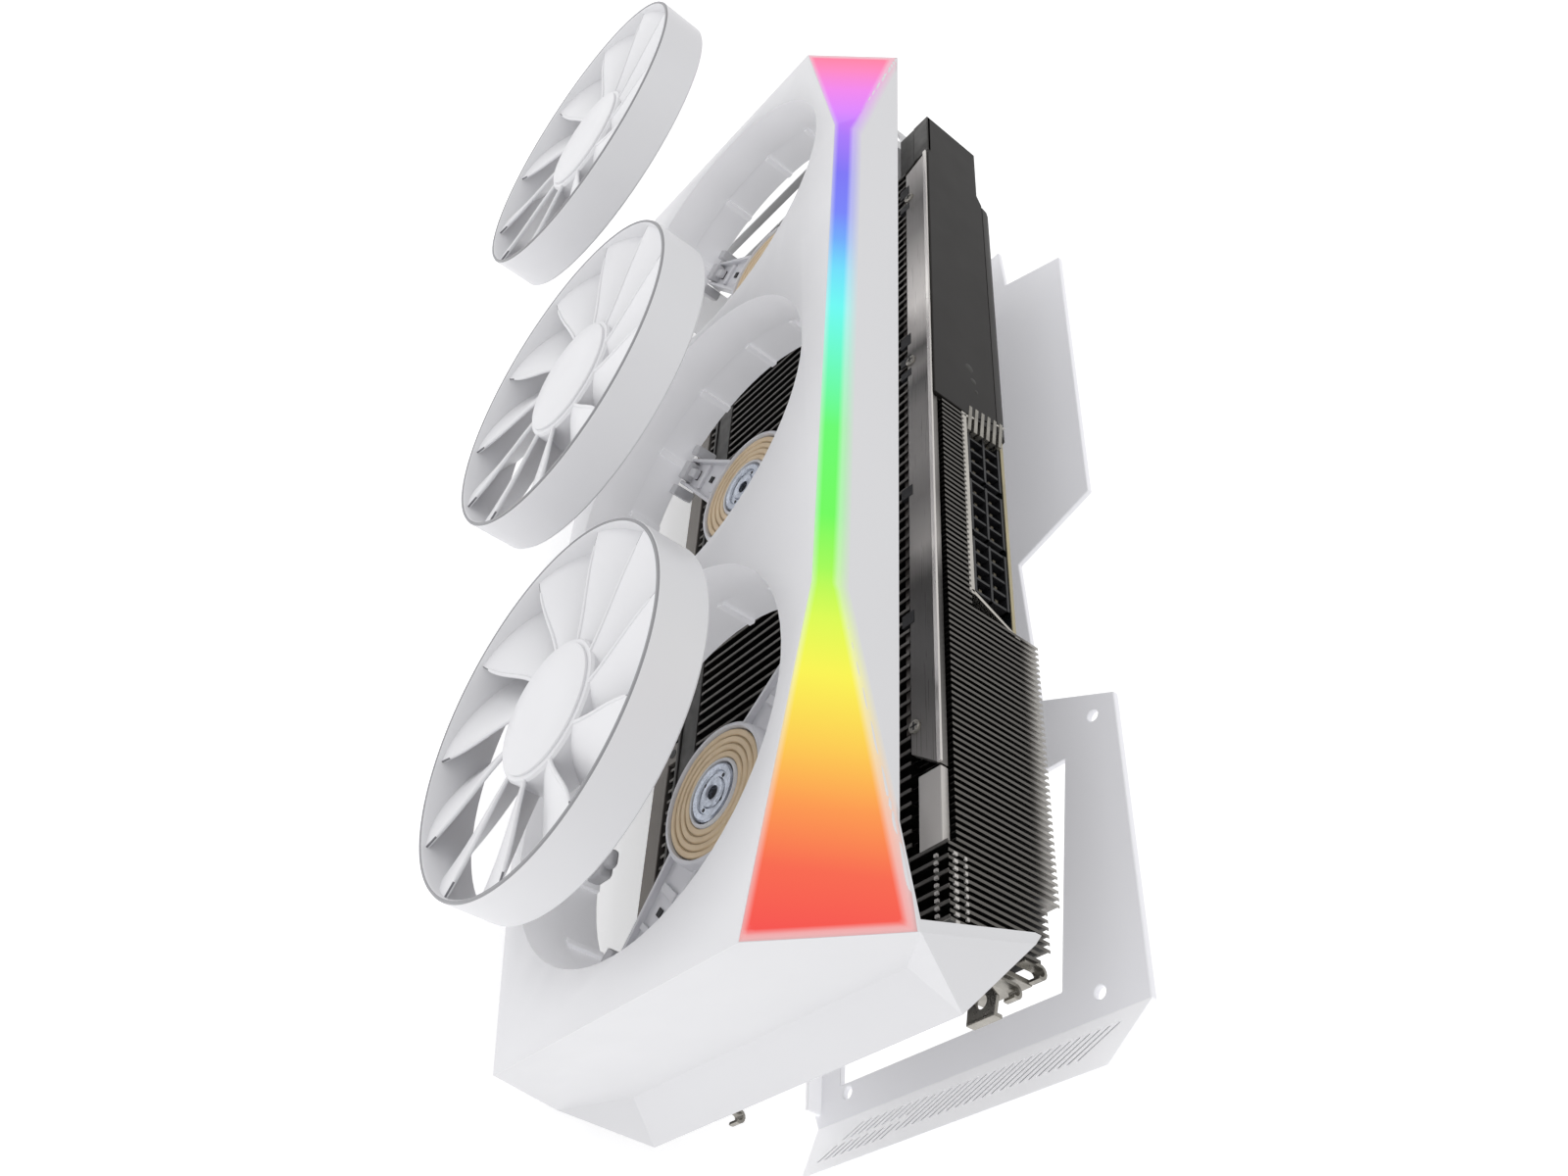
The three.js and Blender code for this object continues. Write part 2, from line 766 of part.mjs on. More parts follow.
function shroudPieces() {
  return [
    piece('shroud_shell', shroudShell(), whitePlastic),
    piece('light_bar', lightBar(), lightDiffuser),
    ...numbered(fanCount, (n) => piece(`fan_mount_${n + 1}`, fanMount(n), whiteMetal)),
    ...numbered(fanCount, (n) => piece(`motor_stator_${n + 1}`, motorStator(n), coilTan)),
    ...numbered(fanCount, (n) => piece(`motor_spindle_${n + 1}`, motorSpindle(n), nickel))
  ]
}

function fanPieces(n) {
  return [
    piece(`fan_rotor_${n + 1}`, fanRotor(n), whitePlastic),
    piece(`fan_hub_cap_${n + 1}`, fanHubCap(n), whitePlastic),
    piece(`fan_magnet_${n + 1}`, couplingMagnet(n), nickel)
  ]
}

const card = new THREE.Group()
card.name = 'graphics_card'
card.add(layer(0, shroudPieces()))
card.add(layer(corePull, corePieces()))
card.add(layer(backplatePull, [piece('backplate', backplate(), whiteMetal)]))
card.add(...numbered(fanCount, (n) => layer(-fanPull(n), fanPieces(n))))
card.position.set(-bracketX, -(bracketFrontY + bracketBackY) / 2 - corePull, -faceMountZ)

export default card
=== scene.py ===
"""The looks of a triple-fan graphics card, pulled apart in layers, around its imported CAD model.

The CAD's frame: X runs along the card from the slot bracket to the tail, Y from the fans to the
backplate and Z up, from the slot connector to the lit top edge. Pieces are drawn in millimetres and
become metres in make_piece.
"""

import json
import math
import random
from collections import namedtuple

import bmesh
import bpy
from mathutils import Euler, Matrix, Vector


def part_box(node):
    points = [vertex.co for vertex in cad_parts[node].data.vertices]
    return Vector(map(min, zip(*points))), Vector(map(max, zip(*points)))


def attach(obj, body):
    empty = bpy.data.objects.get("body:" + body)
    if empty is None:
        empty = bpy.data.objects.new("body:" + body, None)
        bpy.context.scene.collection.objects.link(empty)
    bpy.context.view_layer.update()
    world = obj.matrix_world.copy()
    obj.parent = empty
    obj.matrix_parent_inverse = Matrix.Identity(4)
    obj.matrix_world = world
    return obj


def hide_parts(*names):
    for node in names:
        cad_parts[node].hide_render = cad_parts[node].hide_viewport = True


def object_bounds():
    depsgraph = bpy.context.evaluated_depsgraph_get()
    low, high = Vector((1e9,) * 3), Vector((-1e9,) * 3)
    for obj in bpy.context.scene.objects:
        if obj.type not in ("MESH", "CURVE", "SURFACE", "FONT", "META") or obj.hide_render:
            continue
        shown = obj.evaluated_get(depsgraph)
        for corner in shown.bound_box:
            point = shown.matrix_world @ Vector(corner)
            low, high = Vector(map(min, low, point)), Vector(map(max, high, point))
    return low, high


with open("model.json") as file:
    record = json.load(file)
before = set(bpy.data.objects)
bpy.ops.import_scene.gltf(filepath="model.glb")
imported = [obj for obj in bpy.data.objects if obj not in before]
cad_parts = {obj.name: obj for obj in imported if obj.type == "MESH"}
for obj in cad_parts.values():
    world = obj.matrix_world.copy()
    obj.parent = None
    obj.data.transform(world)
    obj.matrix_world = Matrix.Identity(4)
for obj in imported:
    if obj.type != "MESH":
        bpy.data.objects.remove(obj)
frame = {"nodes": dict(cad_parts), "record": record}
cad_low, cad_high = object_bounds()
scene = bpy.context.scene
MM = 0.001

# ---------------------------------------------------------------- places taken from the frame
Span = namedtuple("Span", "x0 x1 y0 y1 z0 z1")


def span(node):
    """The node's box, in millimetres."""
    low, high = (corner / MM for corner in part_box(node))
    return Span(low.x, high.x, low.y, high.y, low.z, high.z)


record = frame["record"]
home = {n: body for body, nodes in record["behaviour"]["bodies"].items() for n in nodes}

fan_numbers = (1, 2, 3)
fan_spans = {n: span(f"fan_rotor_{n}") for n in fan_numbers}
fan_radius = (fan_spans[1].x1 - fan_spans[1].x0) / 2
fan_x = {n: (fan_spans[n].x0 + fan_spans[n].x1) / 2 for n in fan_numbers}
fan_z = (fan_spans[1].z0 + fan_spans[1].z1) / 2
shroud = span("shroud_shell")
fins = span("fin_stack_main")
tail_fins = span("fin_stack_tail")
rail = span("front_rail")
slot_side = span("slot_rail")
block = span("tail_block")
cover = span("side_cover")
sockets_frame = span("connector_frame")
board = span("circuit_board")
plate = span("backplate")
cover_under = cover.z1 - 1.5


# ---------------------------------------------------------------- camera and light
camera_azimuth = math.radians(55.54)
camera_elevation = math.radians(36.45)
camera_roll = math.radians(-53.0)
camera_distance = 0.400
camera_lens = 33.17
aim_from_fan = Vector((-66.4, 62.4, 11.1))
lamps = (
    ("face_lamp", (-0.3, -1.3, 0.5), 1.2, 1.3),
    ("top_lamp", (-0.3, 0.2, 1.6), 1.3, 1.9),
    ("fill_lamp", (1.0, -0.75, 0.9), 1.0, 0.7),
)
world_strength = 0.76
floor_reach = 60
floor_glow = 0.42


def make_camera():
    """The camera aims at a point between the shroud and the heatsink, from over the tail end."""
    target = (Vector((fan_x[3], fan_spans[3].y0, fan_z)) + aim_from_fan) * MM
    flat = math.cos(camera_elevation)
    back = Vector((
        math.sin(camera_azimuth) * flat,
        -math.cos(camera_azimuth) * flat,
        math.sin(camera_elevation),
    ))
    data = bpy.data.cameras.new("camera")
    data.lens = camera_lens
    data.clip_start = 0.01
    data.clip_end = 100
    camera = bpy.data.objects.new("camera", data)
    camera.rotation_mode = "QUATERNION"
    level = (-back).to_track_quat("-Z", "Y")
    camera.rotation_quaternion = level @ Euler((0, 0, -camera_roll)).to_quaternion()
    camera.location = target + back * camera_distance
    scene.collection.objects.link(camera)
    scene.camera = camera


def area_light(name, place, aim, size, power):
    data = bpy.data.lights.new(name, "AREA")
    data.shape = "DISK"
    data.size = size
    data.energy = power
    lamp = bpy.data.objects.new(name, data)
    lamp.location = place
    lamp.rotation_mode = "QUATERNION"
    lamp.rotation_quaternion = (Vector(aim) - Vector(place)).to_track_quat("-Z", "Y")
    scene.collection.objects.link(lamp)


def make_light():
    """A bright even studio: a white surround, and wide lamps before the fans, above and at the tail."""
    world = bpy.data.worlds.new("studio")
    world.use_nodes = True
    background = world.node_tree.nodes["Background"]
    background.inputs["Color"].default_value = (1, 1, 1, 1)
    background.inputs["Strength"].default_value = world_strength
    scene.world = world
    scene.view_settings.view_transform = "Standard"
    centre = (cad_low + cad_high) / 2
    for name, place, size, power in lamps:
        area_light(name, centre + Vector(place), centre, size, power)


def make_floor():
    """A wide pale floor just under the lowest point of the card."""
    bm = bmesh.new()
    corners = [(-1, -1), (1, -1), (1, 1), (-1, 1)]
    bm.faces.new([bm.verts.new((x * floor_reach, y * floor_reach, 0)) for x, y in corners])
    mesh = bpy.data.meshes.new("floor")
    bm.to_mesh(mesh)
    bm.free()
    floor = bpy.data.objects.new("floor", mesh)
    floor.location.z = cad_low.z - 0.5 * MM
    scene.collection.objects.link(floor)
    look, shader, _, _ = new_material("floor_paper")
    shader.inputs["Base Color"].default_value = (0.95, 0.95, 0.955, 1)
    shader.inputs["Roughness"].default_value = 0.9
    shader.inputs["Emission Color"].default_value = (1, 1, 1, 1)
    shader.inputs["Emission Strength"].default_value = floor_glow
    mesh.materials.append(look)


# ---------------------------------------------------------------- materials
def new_material(name):
    look = bpy.data.materials.new(name)
    look.use_nodes = True
    tree = look.node_tree
    shader = tree.nodes["Principled BSDF"]
    return look, shader, tree.nodes, tree.links


def object_point(nodes, links, stretch=(1, 1, 1)):
    """The surface point in the card's frame, stretched along each axis."""
    place = nodes.new("ShaderNodeTexCoord")
    mapping = nodes.new("ShaderNodeMapping")
    mapping.inputs["Scale"].default_value = stretch
    links.new(place.outputs["Object"], mapping.inputs["Vector"])
    return mapping.outputs["Vector"]


def noise(nodes, links, point, scale, detail=3, roughness=0.5):
    node = nodes.new("ShaderNodeTexNoise")
    node.inputs["Scale"].default_value = scale
    node.inputs["Detail"].default_value = detail
    node.inputs["Roughness"].default_value = roughness
    links.new(point, node.inputs["Vector"])
    return node.outputs["Fac"]


def ramp(nodes, links, factor, stops):
    """A colour ramp; stops are (place, colour) pairs."""
    node = nodes.new("ShaderNodeValToRGB")
    elements = node.color_ramp.elements
    while len(elements) < len(stops):
        elements.new(0.5)
    for element, (place, colour) in zip(elements, stops):
        element.position = place
        element.color = (*colour, 1)
    links.new(factor, node.inputs["Fac"])
    return node.outputs["Color"]


def map_range(nodes, links, value, low, high, to_low=0.0, to_high=1.0, smooth=False):
    """value, from low to high, mapped to to_low up to to_high."""
    node = nodes.new("ShaderNodeMapRange")
    if smooth:
        node.interpolation_type = "SMOOTHSTEP"
    ends = {"From Min": low, "From Max": high, "To Min": to_low, "To Max": to_high}
    for name, number in ends.items():
        node.inputs[name].default_value = number
    links.new(value, node.inputs["Value"])
    return node.outputs["Result"]


def spread(nodes, links, factor, low, high):
    """A noise, which mostly lies from 0.3 to 0.7, spread over low to high."""
    return map_range(nodes, links, factor, 0.3, 0.7, low, high)


def share_along(nodes, links, axis, low, high):
    """How far the surface point lies from low to high, in millimetres, along an axis: 0 to 1."""
    place = nodes.new("ShaderNodeTexCoord")
    split = nodes.new("ShaderNodeSeparateXYZ")
    links.new(place.outputs["Object"], split.inputs["Vector"])
    return map_range(nodes, links, split.outputs[axis], low * MM, high * MM)


def disturbed(nodes, links, value, noise_value, amount):
    """value with a little of a noise added."""
    node = nodes.new("ShaderNodeMath")
    node.operation = "MULTIPLY_ADD"
    node.inputs[1].default_value = amount
    links.new(noise_value, node.inputs[0])
    links.new(value, node.inputs[2])
    return node.outputs["Value"]


def bump(nodes, links, height, strength, distance):
    node = nodes.new("ShaderNodeBump")
    node.inputs["Strength"].default_value = strength
    node.inputs["Distance"].default_value = distance
    links.new(height, node.inputs["Height"])
    return node.outputs["Normal"]


def shade(colour, amount):
    return tuple(channel * amount for channel in colour)


def surface(name, colour, roughness, metal=0.0, vary=0.05, grain_scale=2500, grain=0.12,
            stretch=(1, 1, 1), patch_scale=14, rough_vary=0.08, coat=0.0, specular=0.5, lift=0.0):
    """A moulded, painted or machined surface: patchy colour and gloss, with a fine grain.
    lift makes the surface glow faintly in its own colour: painted bounce light, standing in for a white
    studio's light between pale surfaces that face one another."""
    look, shader, nodes, links = new_material(name)
    point = object_point(nodes, links, stretch)
    patches = noise(nodes, links, point, patch_scale)
    fine = noise(nodes, links, point, grain_scale, detail=2)
    tint = ramp(nodes, links, patches, [(0.3, shade(colour, 1 - vary)), (0.7, colour)])
    links.new(tint, shader.inputs["Base Color"])
    worn = noise(nodes, links, point, patch_scale * 5)
    links.new(
        spread(nodes, links, worn, roughness - rough_vary, roughness + rough_vary),
        shader.inputs["Roughness"],
    )
    links.new(bump(nodes, links, fine, grain, 0.05 * MM), shader.inputs["Normal"])
    shader.inputs["Metallic"].default_value = metal
    shader.inputs["Coat Weight"].default_value = coat
    shader.inputs["Specular IOR Level"].default_value = specular
    # Painted bounce light: a faint glow in the surface's own colour.
    if lift:
        links.new(tint, shader.inputs["Emission Color"])
        shader.inputs["Emission Strength"].default_value = lift
    return look


def painted_sheen_metal(name, dark, middle, light, roughness, along):
    """Brushed metal with its sheen painted into the colour, as soft light and dark bands along the
    card.
    """
    look, shader, nodes, links = new_material(name)
    bands = noise(nodes, links, object_point(nodes, links, (along, 0.5, 0.5)), 1.0, detail=1)
    lines = brushed_lines(nodes, links)
    sheen = disturbed(nodes, links, bands, lines, 0.10)
    tint = ramp(nodes, links, sheen, [(0.40, dark), (0.53, middle), (0.66, light)])
    links.new(tint, shader.inputs["Base Color"])
    gloss = spread(nodes, links, lines, roughness - 0.06, roughness + 0.1)
    links.new(gloss, shader.inputs["Roughness"])
    links.new(bump(nodes, links, lines, 0.2, 0.03 * MM), shader.inputs["Normal"])
    shader.inputs["Metallic"].default_value = 0.5
    return look


def brushed_lines(nodes, links):
    """Fine scratches that run along the card."""
    return noise(nodes, links, object_point(nodes, links, (12, 900, 900)), 3.0, detail=3)


# Painted reflection: how bright the polished rail looks along it, by share of its length from the
# bracket end.
painted_rail_reflection = (
    (0.00, 0.62), (0.05, 0.45), (0.11, 0.17), (0.17, 0.24), (0.26, 0.62), (0.32, 0.80),
    (0.38, 0.60), (0.41, 0.12), (0.44, 0.30), (0.47, 0.08), (0.51, 0.22), (0.60, 0.30),
    (0.66, 0.22), (0.73, 0.42), (0.78, 0.09), (0.84, 0.07), (0.90, 0.10), (1.00, 0.22),
)


def brushed_rail(name):
    """A polished rail whose reflections of its surroundings are painted into its colour, as soft light
    and dark bands along it.
    """
    look, shader, nodes, links = new_material(name)
    share = share_along(nodes, links, "X", rail.x0, rail.x1)
    lines = brushed_lines(nodes, links)
    stops = [(where, (level, level * 0.95, level * 0.91)) for where, level in painted_rail_reflection]
    tint = ramp(nodes, links, disturbed(nodes, links, share, lines, 0.02), stops)
    links.new(tint, shader.inputs["Base Color"])
    links.new(spread(nodes, links, lines, 0.26, 0.42), shader.inputs["Roughness"])
    links.new(bump(nodes, links, lines, 0.15, 0.03 * MM), shader.inputs["Normal"])
    shader.inputs["Metallic"].default_value = 0.35
    return look


def fin_metal(name, dark, middle):
    """Black nickel that turns bare and bright towards the back edge, past the tail stack."""
    look, shader, nodes, links = new_material(name)
    bare_from, bare_to = tail_fins.y0 + 4.5, tail_fins.y0 + 9
    fade = share_along(nodes, links, "Y", bare_from, bare_to)
    stain = noise(nodes, links, object_point(nodes, links), 60)
    bare = (0.44, 0.425, 0.40)
    stops = [(0.0, dark), (0.25, middle), (1.0, bare)]
    tint = ramp(nodes, links, disturbed(nodes, links, fade, stain, 0.12), stops)
    links.new(tint, shader.inputs["Base Color"])
    links.new(spread(nodes, links, stain, 0.34, 0.48), shader.inputs["Roughness"])
    fine = noise(nodes, links, object_point(nodes, links), 1800)
    links.new(bump(nodes, links, fine, 0.1, 0.03 * MM), shader.inputs["Normal"])
    shader.inputs["Metallic"].default_value = 0.8
    return look


# The light's colours from the bracket end to the tail, by share of the shroud's length.
rainbow = (
    (0.00, (0.96, 0.12, 0.20)),
    (0.05, (0.95, 0.15, 0.45)),
    (0.11, (0.84, 0.15, 0.80)),
    (0.17, (0.66, 0.15, 0.96)),
    (0.22, (0.36, 0.14, 0.96)),
    (0.28, (0.16, 0.13, 0.92)),
    (0.34, (0.14, 0.19, 0.96)),
    (0.38, (0.12, 0.38, 0.97)),
    (0.42, (0.12, 0.72, 0.98)),
    (0.47, (0.11, 0.96, 0.90)),
    (0.54, (0.10, 0.97, 0.50)),
    (0.61, (0.10, 0.97, 0.13)),
    (0.70, (0.13, 0.97, 0.07)),
    (0.75, (0.35, 0.97, 0.055)),
    (0.79, (0.73, 0.98, 0.05)),
    (0.83, (0.98, 0.92, 0.05)),
    (0.88, (1.00, 0.60, 0.045)),
    (0.92, (1.00, 0.30, 0.04)),
    (0.96, (0.96, 0.11, 0.04)),
    (1.00, (0.95, 0.05, 0.04)),
)
glow_name = "edge_distance"
halo_width = 5.0


def light_look(name, with_glow):
    """The lit bar. With a glow, the bar's light spill onto the white shroud is painted over a few
    millimetres round its edge: a tint in the colour and a faint glow.
    """
    look, shader, nodes, links = new_material(name)
    share = share_along(nodes, links, "X", shroud.x0, shroud.x1)
    soft = noise(nodes, links, object_point(nodes, links), 9)
    colour = ramp(nodes, links, disturbed(nodes, links, share, soft, 0.012), rainbow)
    black, unlit = (0, 0, 0, 1), (0.02, 0.02, 0.02, 1)
    shader.inputs["Base Color"].default_value = unlit
    shader.inputs["Roughness"].default_value = 0.42
    shader.inputs["Specular IOR Level"].default_value = 0.25
    shader.inputs["Emission Strength"].default_value = 0.93
    if not with_glow:
        links.new(colour, shader.inputs["Emission Color"])
        return look
    distance = nodes.new("ShaderNodeAttribute")
    distance.attribute_name = glow_name
    inside = distance.outputs["Fac"]
    lit = map_range(nodes, links, inside, -0.7, 0.5)
    halo = map_range(nodes, links, inside, -halo_width, 0.5, 0.0, 0.55, smooth=True)
    painted_spill_tint = mix_colour(nodes, links, halo, (*white_paint, 1), colour)
    spill = mix_colour(nodes, links, halo, black, colour)
    weak_spill = mix_colour(nodes, links, 0.75, spill, black)
    links.new(mix_colour(nodes, links, lit, weak_spill, colour), shader.inputs["Emission Color"])
    links.new(mix_colour(nodes, links, lit, painted_spill_tint, unlit), shader.inputs["Base Color"])
    shader.inputs["Specular IOR Level"].default_value = 0.5
    return look


def mix_colour(nodes, links, factor, first, second):
    """first where factor is 0, second where it is 1; each may be a socket or a plain value."""
    node = nodes.new("ShaderNodeMix")
    node.data_type = "RGBA"
    factor_socket, first_socket, second_socket = (node.inputs[i] for i in (0, 6, 7))
    chosen = ((factor, factor_socket), (first, first_socket), (second, second_socket))
    for value, socket in chosen:
        if isinstance(value, bpy.types.NodeSocket):
            links.new(value, socket)
        else:
            socket.default_value = value
    colour_output = node.outputs[2]
    return colour_output


white_paint = (0.79, 0.79, 0.81)
fan_white = (0.76, 0.76, 0.78)


def make_looks():
    """Every material by a short name."""
    return {
        "shroud": surface("white_satin_plastic", white_paint, 0.42, vary=0.02, grain=0.06),
        # The openings' walls: a darker copy of the white plastic that glows faintly, painted bounce
        # light.
        "wall": surface("white_wall_plastic_painted_glow", (0.72, 0.72, 0.74), 0.5,
                        vary=0.04, grain=0.1, lift=0.32),
        "fan": surface("white_fan_plastic", fan_white, 0.38, vary=0.02, grain=0.05),
        "rim": surface("rim_line_painted_shadow", (0.32, 0.32, 0.335), 0.5, vary=0.1, specular=0.25),
        # The blade edges' last stretch: grey, painted shadow of the notch.
        "notch": surface("notch_painted_shadow", (0.20, 0.20, 0.215), 0.5, vary=0.1, specular=0.25),
        "arm": surface("silver_arm_plastic", (0.76, 0.76, 0.79), 0.34, metal=0.12, vary=0.06),
        "clip": surface("grey_clip_plastic", (0.66, 0.66, 0.68), 0.45, vary=0.08),
        "gold": surface("gold_ring_foil", (0.76, 0.59, 0.38), 0.40,
                        metal=0.25, vary=0.10, patch_scale=60),
        "gold_dark": surface("gold_groove_foil", (0.55, 0.42, 0.26), 0.45, metal=0.2, vary=0.15),
        "spindle": surface("turned_steel", (0.50, 0.54, 0.62), 0.25,
                           metal=0.95, vary=0.3, patch_scale=220),
        # Near black, for pads and discs laid where holes, slots and pockets are: painted shade.
        "dark": surface("painted_hole_shade", (0.018, 0.018, 0.02), 0.6, vary=0.3),
        "fins": fin_metal("black_nickel_fins", (0.016, 0.015, 0.014), (0.04, 0.038, 0.036)),
        # The fins' folded lips: a lighter copy of the fin metal, painted highlight along the edges.
        "fin_lip": fin_metal("fin_lips_painted_highlight", (0.135, 0.128, 0.118), (0.17, 0.16, 0.15)),
        "fin_base": surface("dark_fin_panel", (0.055, 0.053, 0.05), 0.42,
                            metal=0.6, vary=0.35, patch_scale=40),
        "cover": surface("satin_black_coat", (0.015, 0.013, 0.012), 0.46,
                         vary=0.08, rough_vary=0.02, specular=0.28),
        # The cover's front plate and its dimples: a lighter grey copy of the black coat.
        "cover_front": surface("lighter_grey_coat", (0.032, 0.030, 0.026), 0.42,
                               vary=0.3, patch_scale=40, specular=0.35),
        "rail": brushed_rail("rail_metal_painted_reflection"),
        "slot_rail": painted_sheen_metal("taupe_rail_metal_painted_sheen", (0.13, 0.118, 0.105), (0.18, 0.165, 0.15),
                                  (0.25, 0.235, 0.215), 0.42, along=9),
        "strip": surface("dark_taupe_strip", (0.085, 0.074, 0.066), 0.36,
                         metal=0.4, vary=0.35, patch_scale=30),
        # The rail's folded lip: a bright copy of the rail metal, painted highlight.
        "edge": surface("edge_metal_painted_highlight", (0.80, 0.77, 0.74), 0.22, metal=0.8, vary=0.12),
        "pale": surface("pale_nickel_block", (0.60, 0.575, 0.55), 0.36,
                        metal=0.4, vary=0.05, patch_scale=25),
        "nickel": surface("nickel_plate", (0.66, 0.63, 0.58), 0.24,
                          metal=0.95, vary=0.2, patch_scale=90),
        "aged": surface("aged_nickel_tab", (0.42, 0.40, 0.36), 0.30,
                        metal=0.8, vary=0.4, patch_scale=160),
        "copper": surface("copper_pipe", (0.72, 0.40, 0.26), 0.28, metal=0.95, vary=0.2),
        "solder_mask": surface("black_solder_mask", (0.012, 0.014, 0.016), 0.38,
                               vary=0.3, coat=0.3),
        "laminate": surface("board_edge_laminate", (0.50, 0.44, 0.27), 0.5,
                            vary=0.3, patch_scale=60),
        "gilt": surface("gilt_contact", (0.90, 0.66, 0.28), 0.22, metal=0.95, vary=0.15),
        "pin": surface("tinned_pin", (0.16, 0.14, 0.10), 0.35, metal=0.8, vary=0.2),
        "chip": surface("moulded_package", (0.030, 0.031, 0.033), 0.42, vary=0.2),
        "die": surface("polished_die", (0.12, 0.13, 0.15), 0.10, metal=0.7, vary=0.1),
        "socket": surface("black_socket_plastic", (0.012, 0.012, 0.014), 0.4, vary=0.3),
        # The slot bracket glows faintly: painted bounce light.
        "bracket": surface("plated_bracket_steel_painted_glow", (0.64, 0.64, 0.65), 0.34,
                           metal=0.5, vary=0.08, lift=0.1),
        # The backplate's inside glows faintly: painted bounce light.
        "backplate": surface("white_metal_paint_painted_glow", (0.72, 0.72, 0.75), 0.42,
                             vary=0.03, grain=0.1, lift=0.34),
        # The fold and its tab: a lighter copy of the backplate's paint that glows more, painted light
        # on the faces turned to the tail.
        "fold": surface("white_fold_paint_painted_light", (0.80, 0.80, 0.82), 0.42,
                        vary=0.03, grain=0.1, lift=0.42),
        "outside": surface("outer_metal_paint", (0.66, 0.66, 0.68), 0.42, vary=0.05, grain=0.1),
        # Grey, for the sheet behind the fold's slots: painted shade.
        "screen": surface("slot_painted_shade", (0.20, 0.20, 0.21), 0.6, vary=0.1, specular=0.2),
        "screw": surface("screw_steel", (0.50, 0.49, 0.47), 0.25, metal=0.95, vary=0.2),
        "light": light_look("lit_bar", False),
        "glow": light_look("lit_bar_with_glow", True),
    }


# ---------------------------------------------------------------- mesh code
def mesh_in_metres(name, bm):
    """Turns a drawing in millimetres into a mesh."""
    bmesh.ops.recalc_face_normals(bm, faces=bm.faces)
    mesh = bpy.data.meshes.new(name)
    bm.to_mesh(mesh)
    bm.free()
    mesh.transform(Matrix.Scale(MM, 4))
    return mesh


def drawing_of(mesh, whole_faces=False):
    """A mesh as a welded drawing in millimetres, if need be with its flat faces made whole again."""
    bm = bmesh.new()
    bm.from_mesh(mesh)
    bmesh.ops.remove_doubles(bm, verts=bm.verts, dist=0.004 * MM)
    if whole_faces:
        bmesh.ops.dissolve_limit(bm, angle_limit=math.radians(0.6), verts=bm.verts, edges=bm.edges)
    bmesh.ops.scale(bm, vec=(1 / MM, 1 / MM, 1 / MM), verts=bm.verts)
    return bm


def make_piece(name, bm, look, like, stands_for=(), bevel=0.0, smooth_angle=34, second=None):
    """A finished piece that rides with the CAD node it is like, in the look it is given."""
    mesh = mesh_in_metres(name, bm)
    mesh.materials.append(looks[look])
    if second:
        mesh.materials.append(looks[second])
    piece = bpy.data.objects.new(name, mesh)
    scene.collection.objects.link(piece)
    mesh.shade_smooth()
    if bevel:
        soften = piece.modifiers.new("soften_edges", "BEVEL")
        soften.width = bevel * MM
        soften.segments = 2
        soften.limit_method = "ANGLE"
        soften.angle_limit = math.radians(smooth_angle)
        soften.harden_normals = True
    else:
        mesh.set_sharp_from_angle(angle=math.radians(smooth_angle))
    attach(piece, home[like])
    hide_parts(*stands_for)
    return piece


def add_sheet(bm, rows, material=0):
    """Four-sided faces between neighbouring rows of vertices."""
    for first, second in zip(rows, rows[1:]):
        for k in range(len(first) - 1):
            face = bm.faces.new((first[k], second[k], second[k + 1], first[k + 1]))
            face.material_index = material


def add_skin(bm, rings, material=0):
    """A closed bar through rings of vertices, with flat ends."""
    add_sheet(bm, [ring + ring[:1] for ring in rings], material)
    for end in (rings[0], rings[-1]):
        bm.faces.new(end).material_index = material


def add_prism(bm, outline, axis, near, far, material=0):
    """A flat plate: an outline of (u, v) points across the axis, from near to far along it.
    The points are (Y, Z) for axis X, (X, Z) for axis Y and (X, Y) for axis Z."""
    def at(u, v, w):
        return {"X": (w, u, v), "Y": (u, w, v), "Z": (u, v, w)}[axis]
    rings = [[bm.verts.new(at(u, v, w)) for u, v in outline] for w in (near, far)]
    add_skin(bm, rings, material)


def add_block(bm, x0, x1, y0, y1, z0, z1, material=0):
    add_prism(bm, [(x0, y0), (x1, y0), (x1, y1), (x0, y1)], "Z", z0, z1, material)


def add_pad(bm, x, z, half_x, half_z, y0, y1, material=0):
    """A block centred on x, z."""
    add_block(bm, x - half_x, x + half_x, y0, y1, z - half_z, z + half_z, material)


def lone_block(*extents):
    """One block by itself."""
    bm = bmesh.new()
    add_block(bm, *extents)
    return bm


def add_lathe(bm, profile, x, z, sides=96, closed=True, material=0):
    """A turned body about a line along Y through x, z. The profile is (radius, y) points."""
    turns = [2 * math.pi * k / sides for k in range(sides)]
    rings = []
    for radius, y in profile:
        spokes = turns if radius else turns[:1]
        ring = [(x + radius * math.cos(a), y, z + radius * math.sin(a)) for a in spokes]
        rings.append([bm.verts.new(point) for point in ring])
    pairs = list(zip(rings, rings[1:]))
    if closed:
        pairs.append((rings[-1], rings[0]))
    for first, second in pairs:
        if len(first) == 1 and len(second) == 1:
            continue
        for k in range(sides):
            n = (k + 1) % sides
            around = ((first, k), (first, n), (second, n), (second, k))
            corners = [ring[place % len(ring)] for ring, place in around]
            bm.faces.new(list(dict.fromkeys(corners))).material_index = material


def add_disc(bm, radius, y0, y1, x, z, sides, material=0):
    """A solid disc across Y, from y0 to y1."""
    profile = [(0, y0), (radius, y0), (radius, y1), (0, y1)]
    add_lathe(bm, profile, x, z, sides, closed=False, material=material)


def turned(n, profile, sides=96, closed=True):
    """A body turned about the axis of fan n."""
    bm = bmesh.new()
    add_lathe(bm, profile, fan_x[n], fan_z, sides, closed)
    return bm


def move(bm, turn, shift, first=0):
    """Turns what was drawn from the first vertex on about the origin, and then shifts it."""
    bm.verts.ensure_lookup_table()
    for vert in bm.verts[first:]:
        vert.co = turn @ vert.co + Vector(shift)


